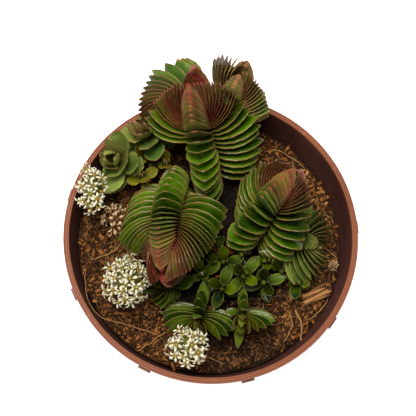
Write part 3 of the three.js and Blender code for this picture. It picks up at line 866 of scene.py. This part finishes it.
def leaf_rule(sums, leaf, u, across, above, widest, base_share, tip_power, cup, quarter):
    """How far out of the stem, along it and aside a place on a leaf lies: u runs from the leaf's base to its
    tip, across from edge to edge, and above from its keel to its upper side."""
    lean, curl, length = leaf["lean"], leaf["curl"], leaf["length"]
    ahead = lean - curl * u
    sine, cosine = sums.math("SINE", ahead), sums.math("COSINE", ahead)
    reach = length * (cosine - sums.math("COSINE", lean)) / curl
    climb = length * (sums.math("SINE", lean) - sine) / curl
    swell = base_share + (1 - base_share) * sums.step(0, widest, u)
    past = sums.math("MAXIMUM", 0, (u - widest) / (1 - widest))
    half = 0.5 * leaf["width"] * swell * (1 - past**tip_power)
    room = quarter * (leaf["inset"] + sums.math("MAXIMUM", reach, 0))
    half = sums.math("MINIMUM", half, room)
    upper = sums.math("GREATER_THAN", above, 0)
    share = (0.65 - 0.3 * upper) * (0.5 + 0.5 * sums.step(0, 0.3, u)) * (1 - 0.55 * u * u)
    rise = cup * half * across * across + above * leaf["thickness"] * share
    return reach - rise * cosine, climb + rise * sine, across * half


LEAF_FORM = {
    "widest": WIDEST_AT, "base_share": BASE_SHARE, "tip_power": TIP_POWER, "cup": CUP, "quarter": QUARTER,
}


def leaf_point(leaf, *spot):
    """The point of a leaf at a spot, which is how far along, across and above it."""
    out, up, aside = leaf_rule(Numbers(), leaf, *spot, **LEAF_FORM)
    side = leaf["along"].cross(leaf["out"])
    return leaf["base"] + leaf["out"] * out + leaf["along"] * up + side * aside


def leaves_of(head):
    """The leaves of one stem by the growth rule, oldest first."""
    arc = stem_arc(head)
    leaves = []
    for pair in range(head["pairs"]):
        age = pair / (head["pairs"] - 1)
        share = head["bare"] + (1 - head["bare"]) * (1.65 * age - 0.65 * age * age)
        along, front = arc.directions(share)
        right = along.cross(front)
        for half in range(2):
            piece = head["seed"] * 100 + pair * 2 + half
            rank = (pair + 2 * half) % 4
            if age < head["lost"][rank]:
                continue
            turn = math.radians(head["turn"] + 90 * pair + 180 * half + 2 * jitter(piece, 1))
            out = front * math.cos(turn) + right * math.sin(turn)
            inset = 0.3 * core_radius(head, share)
            length = head["length"] * head["ranks"][rank]
            length *= 1 - head["shrink"] * age**3 - 0.25 * (1 - age) ** 4
            width = LEAF_WIDTH * head["size"] * head["plump"]
            lean = head["spread"] - (head["spread"] - YOUNG_LEAN) * age**1.35 + 1.5 * jitter(piece, 3)
            leaves.append({
                "age": age,
                "rank": rank,
                "out": out,
                "along": along,
                "inset": inset,
                "base": arc.point(share) + out * inset,
                "length": length * (1 + 0.05 * jitter(piece, 2)),
                "width": width * (1 - 0.3 * age**2 - 0.1 * (1 - age) ** 4),
                "thickness": LEAF_THICKNESS * head["size"] * head["fat"] * (1 - 0.5 * age),
                "lean": math.radians(lean),
                "curl": math.radians(OLD_CURL + (YOUNG_CURL - OLD_CURL) * age**2),
                "tint": 0.5 + 0.5 * jitter(piece, 5),
            })
    return leaves


def fitted(leaf, corners):
    """The leaf at the length that the frame's solid has, or None where that solid has no such leaf."""
    best = (0, None)
    for fit in FITS:
        tried = {**leaf, "length": leaf["length"] * fit, "width": leaf["width"] * math.sqrt(fit)}
        middle = 0.5**0.6
        spots = [(1, 0, 0), (middle, 0, -1), (middle, 1, 0.2), (middle, -1, 0.2)]
        found = sum(corners.find(leaf_point(tried, *spot))[2] < SAME_PLACE for spot in spots)
        if found > best[0]:
            best = (found, tried)
    return best[1]


def doubled(leaves, since):
    """The leaves and, from an age on, one more halfway between each two of a rank, all of these thinner."""
    more = [{**leaf, "thickness": leaf["thickness"] * (0.7 if leaf["age"] > since else 1)} for leaf in leaves]
    for rank in range(4):
        stack = [leaf for leaf in more if leaf["rank"] == rank and leaf["age"] > since]
        for low, high in zip(stack, stack[1:]):
            middle = {key: (low[key] + high[key]) / 2 for key in low}
            more.append({**middle, "rank": None, "tint": (7 * middle["tint"]) % 1})
    return more


SECTION = [  # across and above, round a leaf
    (0, -1), (0.62, -0.75), (0.98, -0.15), (0.92, 0.62),
    (0, 0.4), (-0.92, 0.62), (-0.98, -0.15), (-0.62, -0.75),
]
BLADE_RINGS = [0, 0.14, 0.31, 0.5, 0.69, 0.84, 0.95]  # where the sections stand along it


def unit_blade():
    """One closed blade. Its vertices only say where on a leaf they lie."""
    spots = [(u, across, above) for u in BLADE_RINGS for across, above in SECTION] + [(1, 0, 0)]
    size = len(SECTION)
    faces = [tuple(range(size))]
    for ring in range(len(BLADE_RINGS) - 1):
        for k in range(size):
            low, after = ring * size + k, ring * size + (k + 1) % size
            faces.append((low, low + size, after + size, after))
    last = size * (len(BLADE_RINGS) - 1)
    faces += [(last + k, len(spots) - 1, last + (k + 1) % size) for k in range(size)]
    spread = dict(zip(("u", "across", "above"), map(list, zip(*spots))))
    return base_object("unit_blade", [Vector((a, b, u)) for u, a, b in spots], (), faces, **spread)


def leafy_growth():
    """The tree that makes a leafy stem: it bends a blade to each leaf's shape and runs a tube up the stem."""
    growth = Growth("leafy_stem")
    blade, skin = growth.given(Blade="Object", Finish="Material")
    form = dict(zip(LEAF_FORM, growth.given(**{name: "Float" for name in LEAF_FORM})))

    shape = growth.node("GeometryNodeObjectInfo", None, {"Object": blade}).other("Geometry")
    is_leaf = growth.math("GREATER_THAN", growth.named("length"), 0)
    sockets = {"Points": growth.base, "Selection": is_leaf, "Instance": shape}
    leaves = growth.node("GeometryNodeInstanceOnPoints", None, sockets)
    leaves = growth.node("GeometryNodeRealizeInstances", None, {"Geometry": leaves})

    leaf = {key: growth.named(key) for key in ("lean", "curl", "length", "width", "inset", "thickness")}
    spot = [growth.named(key) for key in ("u", "across", "above")]
    shifts = leaf_rule(growth, leaf, *spot, **form)
    out, along = growth.named("out", "FLOAT_VECTOR"), growth.named("along", "FLOAT_VECTOR")
    place = growth.named("base", "FLOAT_VECTOR")
    for way, shift in zip((out, along, growth.vector("CROSS_PRODUCT", along, out)), shifts):
        place = growth.vector("ADD", place, growth.vector("SCALE", way, scale=shift))
    leaves = growth.node("GeometryNodeSetPosition", None, {"Geometry": leaves, "Position": place})

    stem = growth.tubes(STEM_SIDES)
    both = growth.node("GeometryNodeJoinGeometry", None, {"Geometry": [leaves, stem]})
    growth.finish(both, skin)
    return growth


def leaf_finish(name, fresh, deep, margin, flush, redness, gloss):
    """A succulent leaf's skin: waxy green, with a thin dry margin and a flush of red on young leaves, painted
    shade towards the base and a paler band inside the margin that is partly painted highlight.
    """
    skin = Finish(
        name,
        Specular_IOR_Level=max(0.02, 0.4 - 1.2 * gloss),
        Coat_Roughness=0.1,
        Subsurface_Weight=0.06,
        Subsurface_Scale=0.0015,
    )
    skin.shader.inputs["Subsurface Radius"].default_value = (0.4, 1.0, 0.2)
    u, across, above = skin.attribute("u"), skin.attribute("across"), skin.attribute("above")
    age, tint = skin.attribute("age"), skin.attribute("tint")
    cloudy = skin.speckle(0.0045, 3)
    fine = skin.speckle(0.0007, 3)
    along_leaf = skin.node("ShaderNodeCombineXYZ", None, {"X": across * 5, "Y": tint * 90, "Z": u * 0.7})
    streak = skin.speckle(1, 2, along_leaf)
    wide = skin.math("ABSOLUTE", across) + 0.05 * (fine - 0.5)
    young = skin.step(0.42, 0.8, age + 0.16 * (cloudy - 0.5))
    under = skin.step(0.05, -0.5, above)
    edge = skin.step(0.92, 0.965, wide)
    tip = skin.step(0.88, 1.0, u)
    blush = skin.step(0.5, 0.9, age + 0.16 * (cloudy - 0.5)) * redness * (1 - 0.25 * under)

    # A paler green band inside the margin: partly the leaf's own paler edge, partly a painted highlight where
    # the thick edge rounds over.
    edge_band_and_highlight = skin.step(0.66, 0.86, wide) * (0.3 + 0.35 * tint) * (1 - 0.6 * young * redness)
    dry = 0.5 + 0.45 * skin.step(0.35, 0.6, cloudy)
    spots = skin.step(0.66, 0.72, skin.speckle(0.0028, 2))
    worn = skin.math("MAXIMUM", skin.step(0.55, 0.9, wide), skin.step(0.6, 0.9, u))
    rim = skin.layers(
        margin,
        (skin.step(0.2, 0.9, young * redness + 0.5 * tip + 0.9 * (tint - 0.45)), flush),
        (skin.step(0.5, 0.75, fine) * 0.35, paint(160, 122, 66)),
    )
    colour = skin.layers(
        deep,
        (skin.step(0.3, 0.75, 0.6 * cloudy + 0.4 * tint), fresh),
        # painted shade: the leaves darken to near black towards their bases, where they crowd on the stem
        (skin.step(0.6, 0.05, u) * 0.75, skin.mix(0.5, deep, paint(8, 10, 2))),
        (edge_band_and_highlight, skin.mix(0.5, fresh, paint(150, 154, 60))),
        (blush * (0.3 + 0.7 * skin.step(0.35, 0.62, streak)), flush),
        (skin.math("MAXIMUM", edge, tip * 0.7) * dry, rim),
        (spots * worn * 0.7, paint(82, 44, 22)),
    )
    skin.show(
        Base_Color=colour,
        Roughness=gloss + 0.16 * cloudy + 0.3 * (edge + tip) + 0.6 * under + 0.5 * skin.step(0.12, 0.02, u),
        Coat_Weight=max(0, 0.7 - 2 * gloss) * (1 - under),
        Normal=skin.bump(3 * cloudy + 0.25 * fine - 4 * wide**4, 0.0002),
    )
    return skin.material


BIG_LEAF = leaf_finish(
    "leaf_green", paint(82, 118, 12), paint(38, 66, 4), paint(140, 88, 50), paint(134, 40, 42), 0.95, 0.13
)
# A paler green and pinker flush for the heads at the back: partly their own dusty colour, partly painted
# light, lighter because those heads catch more light.
DUSTY_LIT_LEAF = leaf_finish(
    "leaf_dusty", paint(116, 148, 60), paint(66, 96, 34), paint(178, 98, 82), paint(178, 80, 78), 0.55, 0.3
)
LOW_LEAF = leaf_finish(
    "leaf_low", paint(82, 112, 14), paint(26, 48, 2), paint(126, 92, 42), paint(110, 54, 32), 0.45, 0.18
)
DULL_LEAF = leaf_finish(
    "leaf_dull", paint(134, 152, 66), paint(76, 94, 34), paint(150, 122, 84), paint(132, 76, 56), 0.5, 0.28
)
SHOOT_LEAF = leaf_finish(
    "leaf_shoot", paint(80, 102, 0), paint(12, 26, 0), paint(82, 84, 12), paint(94, 54, 16), 0.2, 0.16
)
PALE_LEAF = leaf_finish(
    "leaf_pale", paint(138, 128, 30), paint(70, 72, 12), paint(122, 78, 30), paint(104, 46, 20), 0.4, 0.26
)


def leaf_kind(name):
    """The finish of a stem's leaves, and the record's slot for it."""
    if name in ("shoot_g", "shoot_h", "shoot_k"):
        return PALE_LEAF, "young_leaf"
    if name.startswith("shoot"):
        return SHOOT_LEAF, "young_leaf"
    if name in ("head_left", "head_back", "head_small"):
        return DUSTY_LIT_LEAF, "leaf"
    if name in ("head_grey", "head_side"):
        return DULL_LEAF, "dull_leaf"
    if name in ("head_flowering", "head_low", "head_under"):
        return LOW_LEAF, "leaf"
    return BIG_LEAF, "leaf"


def plant_base(head, leaves, stalk):
    """The points that a leafy stem grows from: one for each leaf, and chains up the stem and its stalk."""
    arc = stem_arc(head)
    rows = {key: [] for key in ("base", "out", "along")}
    rows.update({key: [] for key in ("length", "width", "thickness", "lean", "curl", "inset", "age", "tint")})
    for leaf in leaves:
        for key in ("out", "along"):
            rows[key].append(leaf[key])
        rows["base"].append(leaf["base"] * MM)
        for key in ("length", "width", "thickness", "inset"):
            rows[key].append(leaf[key] * MM)
        for key in ("lean", "curl", "age", "tint"):
            rows[key].append(leaf[key])
    vertices = [leaf["base"] * MM for leaf in leaves]
    edges = []
    shares = [k / STEM_STEPS for k in range(STEM_STEPS + 1)]
    stem = [(arc.point(share), STEM_SHARE * core_radius(head, share)) for share in shares]
    for chain in [stem] + ([stalk] if stalk else []):
        first = len(vertices)
        for place, radius in chain:
            vertices.append(place * MM)
            for key in ("base", "out", "along"):
                rows[key].append(Vector())
            for key in ("length", "width", "lean", "curl", "inset", "age"):
                rows[key].append(0.0)
            rows["thickness"].append(radius * MM)
            rows["tint"].append(0.4)
        edges += [(k, k + 1) for k in range(first, len(vertices) - 1)]
    return base_object(head["name"] + "_plan", vertices, edges, **rows)


BLOOMS = [
    {"name": "bloom_left", "head": "head_grey", "at": (-48.5, 17, 101), "size": (6.2, 11, 6.2),
     "florets": 27, "ragged": 0.3},
    {"name": "bloom_round", "head": "head_under", "at": (-33.5, -20.5, 101), "size": (10, 10, 8),
     "florets": 46, "ragged": 0.26},
    {"name": "bloom_front", "head": "head_flowering", "at": (-9.5, -46, 103), "size": (8.5, 8, 7),
     "florets": 32, "ragged": 0.28},
]
STALK_RADIUS = 1.0
STALK_STEPS = 8


def stalk_chain(head):
    """The stalk that runs from a flowering stem's crown into its bloom."""
    for bloom in BLOOMS:
        if bloom["head"] == head["name"]:
            arc = stem_arc(head)
            bend, at = arc.point(1), Vector(bloom["at"])
            path = Arc(arc.point(0.85), bend, at.lerp(bend, 0.12))
            return [(path.point(k / STALK_STEPS), STALK_RADIUS) for k in range(STALK_STEPS + 1)]
    return None


CLOSE_SINCE = {  # the age from which a stem's leaves stand close, where they do
    "head_tall": 0.66,
    "head_front": 0.46,
    "head_right": 0.56,
    "head_left": 0.1,
    "head_back": 0.3,
    "head_side": -1,
    "head_under": -1,
}
leafy_stem = leafy_growth()
blade = unit_blade()
for head in HEADS:
    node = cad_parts[head["name"]]
    corners = kdtree.KDTree(len(node.data.vertices))
    for k, vertex in enumerate(node.data.vertices):
        corners.insert(vertex.co / MM, k)
    corners.balance()
    leaves = [leaf for leaf in (fitted(each, corners) for each in leaves_of(head)) if leaf]
    if head["name"] in CLOSE_SINCE:
        leaves = doubled(leaves, CLOSE_SINCE[head["name"]])
    finish, slot = leaf_kind(head["name"])
    piece = grow(
        head["name"] + "_foliage",
        plant_base(head, leaves, stalk_chain(head)),
        leafy_stem,
        Blade=blade,
        Finish=finish,
        **LEAF_FORM,
    )
    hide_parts(head["name"])
    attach(piece, "root")
bpy.data.objects.remove(blade)


# The blooms: round heads of small white flowers, each with five narrow petals round a yellow-green middle
# on a thin stalk, and closed buds under them. They cover the head evenly, each turned its own way, and spring
# from a dense lumpy heart.
PETAL_LENGTH = 2.8
PETAL_WIDTH = 1.05
PETAL_RINGS = [(0.1, 0.5, 0.0), (0.5, 1.0, 0.34), (0.84, 0.7, 0.42)]  # share out, of the width, and up
FLOWER_PIECES = [  # how deep each sits, how unevenly (None is as its bloom has it), its scales and sway
    {"name": "flowers", "inset": 0.6, "ragged": None, "scales": (0.85, 1.25), "sway": 0.5, "phase": 0,
     "seed": 30},
    {"name": "buds", "inset": 2.4, "ragged": 0.1, "scales": (0.7, 1.1), "sway": 0.3, "phase": 0.5,
     "seed": 60},
]
HEART_SHARE = 0.5  # the heart's size, as a share of the bloom's
GOLDEN_ANGLE = math.pi * (3 - math.sqrt(5))


def ring_points(radius, height, sides):
    """Places evenly round the Z axis."""
    turns = [2 * math.pi * k / sides for k in range(sides)]
    return [Vector((radius * math.cos(turn), radius * math.sin(turn), height)) for turn in turns]


class Form:
    """A closed mesh that is built ring by ring. Each vertex keeps what it belongs to and how far out it is:
    kind is 0 on petals, 1 in a flower's middle, 2 on stalks and 3 on buds."""

    def __init__(self):
        self.vertices = []
        self.faces = []
        self.kinds = []
        self.outs = []

    def ring(self, points, kind, out=0.0):
        first = len(self.vertices)
        self.vertices += points
        self.kinds += [float(kind)] * len(points)
        self.outs += [float(out)] * len(points)
        return list(range(first, len(self.vertices)))

    def skin(self, rings):
        """Faces over rings of equal size and over both ends. The last ring may be a single point."""
        self.faces.append(rings[0][::-1])
        for low, high in zip(rings, rings[1:]):
            for k in range(len(low)):
                after = (k + 1) % len(low)
                if len(high) > 1:
                    self.faces.append((low[k], low[after], high[after], high[k]))
                else:
                    self.faces.append((low[k], low[after], high[0]))
        if len(rings[-1]) > 1:
            self.faces.append(rings[-1])

    def made(self, name):
        return base_object(name, self.vertices, (), self.faces, kind=self.kinds, out=self.outs)


def flower_shape(name, lift, droop):
    """One flower that faces +Z, one unit to a millimetre, with narrow petals that bend back."""
    form = Form()
    for petal in range(5):
        angle = 2 * math.pi * petal / 5
        out = Vector((math.cos(angle), math.sin(angle), 0))
        side = Vector((-math.sin(angle), math.cos(angle), 0))
        up = Vector((0, 0, 1))
        rings = []
        for share, wide, rise in PETAL_RINGS:
            middle = out * (PETAL_LENGTH * share) + up * (PETAL_LENGTH * (lift * rise - droop * share**3))
            half = side * (PETAL_WIDTH / 2 * wide)
            corners = [middle - half + up * 0.1, middle - up * 0.16, middle + half + up * 0.1]
            rings.append(form.ring(corners, 0, share))
        tip = out * PETAL_LENGTH + up * (PETAL_LENGTH * (lift * 0.3 - droop))
        rings.append(form.ring([tip], 0, 1))
        form.skin(rings)
    form.skin([form.ring(ring_points(r, h, 5), 1, 0.3) for r, h in [(0.45, -0.7), (0.5, 0.2), (0.22, 0.7)]])
    form.skin([form.ring(ring_points(r, h, 3), 2) for r, h in [(0.2, -6.0), (0.3, -0.5)]])
    return form.made(name)


def bud_shape(name):
    """A closed bud on its stalk that faces +Z."""
    form = Form()
    rings = [(0.16, -4.5, 2), (0.22, -1.3, 2), (0.55, -0.6, 3), (0.58, 0.4, 3), (0.2, 1.3, 3)]
    form.skin([form.ring(ring_points(r, h, 5), kind) for r, h, kind in rings])
    return form.made(name)


posy = Growth("flower_head")
shape, seed, small, large = posy.given(Flower="Object", Seed="Int", Smallest="Float", Largest="Float")
sway, skin = posy.given(Sway="Float", Finish="Material")
draws = {axis: posy.random(-1, 1, seed + k) for k, axis in enumerate("XYZ")}
away = posy.node("ShaderNodeCombineXYZ", None, draws)
facing = posy.vector("ADD", posy.named("facing", "FLOAT_VECTOR"), posy.vector("SCALE", away, scale=sway))
facing = posy.node("FunctionNodeAlignRotationToVector", {"axis": "Z"}, {"Vector": facing})
spin = posy.node("ShaderNodeCombineXYZ", None, {"Z": posy.random(0, 2 * math.pi, seed + 5)})
spin = posy.node("FunctionNodeEulerToRotation", None, {0: spin})
sockets = {"Rotation": facing, "Rotate By": spin}
facing = posy.node("FunctionNodeRotateRotation", {"rotation_space": "LOCAL"}, sockets)
size = posy.random(small, large, seed + 6)
flower = posy.node("GeometryNodeObjectInfo", None, {"Object": shape}).other("Geometry")
sockets = {"Points": posy.base, "Instance": flower, "Rotation": facing, "Scale": size}
flowers = posy.node("GeometryNodeInstanceOnPoints", None, sockets)
posy.finish(posy.tinted(flowers, seed + 7), skin)


def flower_places(name, at, size, count, inset, ragged, phase):
    """Places all round the upper part of an uneven oval head, with the way each faces."""
    places = []
    facings = []
    for k in range(count):
        height = 1 - 1.45 * (k + 0.5) / count
        ring = math.sqrt(1 - height * height)
        angle = (k + phase) * GOLDEN_ANGLE + 0.25 * jitter(k, 5 + phase)
        way = Vector((ring * math.cos(angle), ring * math.sin(angle), height))
        jump = 1 + ragged * (jitter(k, 11 + phase) - 1)
        places.append(Vector([c + (r - inset) * w * jump for c, r, w in zip(at, size, way)]) * MM)
        facings.append(Vector([w / r for r, w in zip(size, way)]).normalized())
    return base_object(name, places, facing=facings)


def petal_finish(name, petal, hollow, middle, green):
    """The colours of one kind of flower, from its petals to its stalk."""
    skin = Finish(name, Specular_IOR_Level=0.3, Subsurface_Weight=0.15, Subsurface_Scale=0.001, Roughness=0.6)
    kind, out, tint = skin.attribute("kind"), skin.attribute("out"), skin.attribute("tint")
    fine = skin.speckle(0.0008, 2)
    colour = skin.layers(
        petal,
        (skin.step(0.55, 0.15, out), hollow),
        (skin.step(0.55, 0.8, fine) * 0.2, hollow),
        (skin.step(0.4, 0.6, kind), skin.mix(tint, middle, hollow)),
        (skin.step(1.4, 1.6, kind), green),
        (skin.step(2.4, 2.6, kind), skin.mix(0.4 + 0.6 * tint, green, petal)),
    )
    skin.show(Base_Color=colour, Normal=skin.bump(fine, 0.0001))
    return skin.material


WHITE_FLOWER = petal_finish(
    "white_petals", paint(230, 219, 188), paint(168, 152, 56), paint(166, 118, 10), paint(84, 86, 14)
)
DRY_FLOWER = petal_finish(
    "dried_petals", paint(208, 170, 124), paint(168, 116, 68), paint(104, 62, 30), paint(120, 82, 46)
)

open_flower = flower_shape("open_flower", 1.0, 0.1)
closed_bud = bud_shape("closed_bud")
flower_shapes = {"flowers": open_flower, "buds": closed_bud}


def heart_of(name, at, size, share, finish):
    """The dense green middle that the small stalks spring from, closed and lumpy."""
    form = bmesh.new()
    bmesh.ops.create_icosphere(form, subdivisions=4, radius=1)
    for vertex in form.verts:
        lump = 1 + 0.12 * noise.noise(vertex.co * 5)
        vertex.co = Vector([(c + r * share * lump * v) * MM for c, r, v in zip(at, size, vertex.co)])
    mesh = mesh_of(form, name)
    layer = mesh.attributes.new("kind", "FLOAT", "POINT")
    layer.data.foreach_set("value", [2.0] * len(mesh.vertices))
    mesh.materials.append(finish)
    mesh.shade_smooth()
    return placed(name, mesh)


def as_one(name, pieces):
    """Several pieces joined in one object."""
    with bpy.context.temp_override(active_object=pieces[0], selected_editable_objects=pieces):
        bpy.ops.object.join()
    pieces[0].name = name
    return pieces[0]


for k, bloom in enumerate(BLOOMS):
    name, at, size, count = bloom["name"], bloom["at"], bloom["size"], bloom["florets"]
    pieces = []
    for kind in FLOWER_PIECES:
        ragged = kind["ragged"] or bloom["ragged"]
        small, large = kind["scales"]
        pieces.append(
            grow(
                name + "_" + kind["name"],
                flower_places("places", at, size, count, kind["inset"], ragged, kind["phase"]),
                posy,
                Flower=flower_shapes[kind["name"]],
                Seed=kind["seed"] + k,
                Smallest=small * MM,
                Largest=large * MM,
                Sway=kind["sway"],
                Finish=WHITE_FLOWER,
            )
        )
    pieces.append(heart_of(name + "_heart", at, size, HEART_SHARE, WHITE_FLOWER))
    piece = as_one(name + "_posy", pieces)
    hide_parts(name)
    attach(piece, "root")


# The spent blooms: two dried flower heads, shrunk to tan tufts on thin stalks of their own.
SPENT = [
    {"name": "spent_bloom_left", "foot": (-38, 6), "at": (-39.5, 6.5, 91), "size": (4.2, 5.2, 3.5),
     "florets": 10, "flower": 1.1},
    {"name": "spent_bloom_right", "foot": (49.5, -12), "at": (50.5, -11.5, 88.5), "size": (1.9, 1.9, 1.7),
     "florets": 5, "flower": 0.55},
]
dried_flower = flower_shape("dried_flower", 2.4, 0.2)
for k, spent in enumerate(SPENT):
    at, size, flower = spent["at"], spent["size"], spent["flower"] * MM
    flowers = grow(
        spent["name"] + "_flowers",
        flower_places("places", at, size, spent["florets"], 1.2, 0.15, 0),
        posy,
        Flower=dried_flower, Seed=90 + k, Smallest=0.8 * flower, Largest=1.2 * flower, Sway=0.5,
        Finish=DRY_FLOWER,
    )
    foot = Vector((*spent["foot"], STEM_FOOT))
    path = Arc(foot, (foot.x, foot.y, SOIL_LEVEL + 4), at)
    chain = [(path.point(s / 10), 0.55 + 0.2 * (s % 3 == 0), 0.35) for s in range(11)]
    paths = chains("stalk_path", [chain])
    stalk = grow(spent["name"] + "_stalk", paths, strands, Sides=8, Finish=root_finish.material)
    piece = as_one(spent["name"] + "_tuft", [flowers, stalk])
    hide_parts(spent["name"])
    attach(piece, "root")
for shape in (open_flower, closed_bud, dried_flower):
    bpy.data.objects.remove(shape)


# Litter between the stems: scraps of dead leaf, thin and curled, two of them as large as a leaf, and a lump
# of bark on the soil at the right, which is a bundle of splinters.
SCRAPS = [  # the middle of each patch with its height, its reach, how many scraps, and their length
    {"at": (3, -30, 84), "reach": 5, "count": 7, "length": 2.8},
    {"at": (8, -22, 85), "reach": 6, "count": 8, "length": 2.4},
    {"at": (0, -10, 86), "reach": 6, "count": 9, "length": 2.6},
    {"at": (18, -12, 84), "reach": 7, "count": 7, "length": 2.4},
    {"at": (-24, 30, 88), "reach": 7, "count": 16, "length": 2.8},
    {"at": (25, -29, 82), "reach": 5, "count": 5, "length": 2.6},
    {"at": (3, -4, 88), "reach": 2, "count": 2, "length": 9.0},
]
SCRAP_WIDTH = 0.32  # as a share of its length
BARK_ENDS = [Vector((37.5, -25.5)), Vector((49, -20))]
BARK_SPLINTERS = 11
BARK_HALF = 2.2
BARK_POINTS = 8


def scrap_shape(name):
    """A curled flake one unit long that lies across Z."""
    form = Form()
    rings = []
    for share, wide in [(-0.5, 0.3), (-0.2, 0.9), (0.15, 1.0), (0.4, 0.5), (0.5, 0.1)]:
        half = 0.5 * SCRAP_WIDTH * wide
        lift = 0.35 * share * share + 0.02
        corners = [(-half, 0.3 * half), (0, -0.02), (half, 0.3 * half), (0, 0.03)]
        rings.append(form.ring([Vector((share, across, lift + up)) for across, up in corners], 0, 0.5))
    form.skin(rings)
    return form.made(name)


litter = Finish("dead_leaf", Specular_IOR_Level=0.2)
tint = litter.attribute("tint")
grain = litter.speckle(0.0006, 3)
colour = litter.layers(
    paint(70, 36, 14),
    (litter.step(0.1, 0.9, tint), paint(150, 84, 34)),
    (litter.step(0.45, 0.7, grain) * 0.5, paint(64, 34, 16)),
)
litter.show(Base_Color=colour, Roughness=0.6 + 0.25 * grain, Normal=litter.bump(grain, 0.0002))

scrap = scrap_shape("scrap")
for k, patch in enumerate(SCRAPS):
    draw = random.Random(200 + k)
    places = []
    facings = []
    for _ in range(patch["count"]):
        shift = [patch["reach"] * draw.uniform(-1, 1) for _ in range(2)] + [draw.uniform(-2, 2)]
        places.append((Vector(patch["at"]) + Vector(shift)) * MM)
        facings.append(Vector((draw.uniform(-0.6, 0.6), draw.uniform(-0.6, 0.6), 1)))
    length = patch["length"] * MM
    piece = grow(
        f"dead_leaf_scraps_{k + 1}",
        base_object("places", places, facing=facings),
        posy,
        Flower=scrap, Seed=150 + k, Smallest=0.6 * length, Largest=1.3 * length, Sway=0.4,
        Finish=litter.material,
    )
    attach(piece, "root")
bpy.data.objects.remove(scrap)

bark = Finish("bark", Specular_IOR_Level=0.2)
tint = bark.attribute("tint")
grain = bark.speckle(0.0005, 3)
colour = bark.layers(
    paint(92, 58, 28),
    (tint, paint(176, 126, 72)),
    (bark.step(0.45, 0.75, grain) * 0.6, paint(70, 42, 20)),
)
bark.show(Base_Color=colour, Roughness=0.75 + 0.2 * grain, Normal=bark.bump(grain, 0.0003))

draw = random.Random(31)
start, end = BARK_ENDS
across = Vector((start.y - end.y, end.x - start.x)).normalized()
ground = max(soil_surface(*start.lerp(end, k / 6)) for k in range(7))
paths = []
for k in range(BARK_SPLINTERS):
    off = draw.uniform(-1, 1)
    height = ground + 0.8 + 2.2 * draw.random() * (1 - off * off)
    first, last = draw.uniform(-0.05, 0.2), draw.uniform(0.8, 1.05)
    tint = draw.random()
    path = []
    for step in range(BARK_POINTS):
        done = step / (BARK_POINTS - 1)
        share = first + (last - first) * done
        place = start.lerp(end, share) + across * (BARK_HALF * off + 0.25 * math.sin(5 * share + k))
        radius = (0.85 - 0.2 * abs(off)) * (1 - 0.5 * abs(2 * done - 1) ** 3)
        path.append((Vector((*place, height)), radius, tint))
    paths.append(path)
piece = grow("bark_lump", chains("bark_paths", paths), strands, Sides=7, Finish=bark.material)
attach(piece, "root")


# The studio: a plain white floor, a wide soft light over the pot and a weaker one from the left, and a
# camera that looks down on the pot.
CAMERA_AT = Vector((-15.6, -88.6, 484.7)) * MM
CAMERA_TARGET = Vector((-1.4, 10.9, 95.0)) * MM
LENS = 85.29  # millimetres on a 36 mm frame
FLOOR_HALF = 3.0
POT_MIDDLE = (0, 0, 0.09)  # where the lights aim

corners = [(x * FLOOR_HALF, y * FLOOR_HALF, 0) for x, y in ((-1, -1), (1, -1), (1, 1), (-1, 1))]
floor = base_object("floor", corners, (), [(0, 1, 2, 3)])
paper = Finish("white_paper", Roughness=0.9, Specular_IOR_Level=0.1, Emission_Strength=0.6)
white = paper.mix(paper.speckle(0.4, 1), paint(253, 253, 253), paint(255, 255, 255))
paper.show(Base_Color=white, Emission_Color=white)
floor.data.materials.append(paper.material)


def soft_light(name, place, size, power):
    """A round soft lamp that shines on the plants, its size in metres and its power in watts."""
    lamp = bpy.data.lights.new(name, "AREA")
    lamp.shape = "DISK"
    lamp.size = size
    lamp.energy = power
    made = placed(name, lamp)
    made.location = place
    made.rotation_euler = (Vector(POT_MIDDLE) - Vector(place)).to_track_quat("-Z", "Y").to_euler()


soft_light("overhead", (-0.12, 0.16, 0.94), 0.45, 9.0)
soft_light("side", (-0.8, -0.2, 0.7), 0.4, 3.2)

world = bpy.data.worlds.new("studio")
bpy.context.scene.world = world
world.use_nodes = True
sky = world.node_tree.nodes["Background"]
sky.inputs["Color"].default_value = (1, 1, 1, 1)
sky.inputs["Strength"].default_value = 0.42

ahead = (CAMERA_TARGET - CAMERA_AT).normalized()
right = ahead.cross(Vector((0, 1, 0))).normalized()
up = right.cross(ahead)
camera = placed("camera", bpy.data.cameras.new("camera"))
camera.data.lens = LENS
camera.data.sensor_width = 36
camera.matrix_world = Matrix.Translation(CAMERA_AT) @ Matrix((right, up, -ahead)).transposed().to_4x4()
bpy.context.scene.camera = camera
bpy.context.scene.view_settings.view_transform = "Standard"
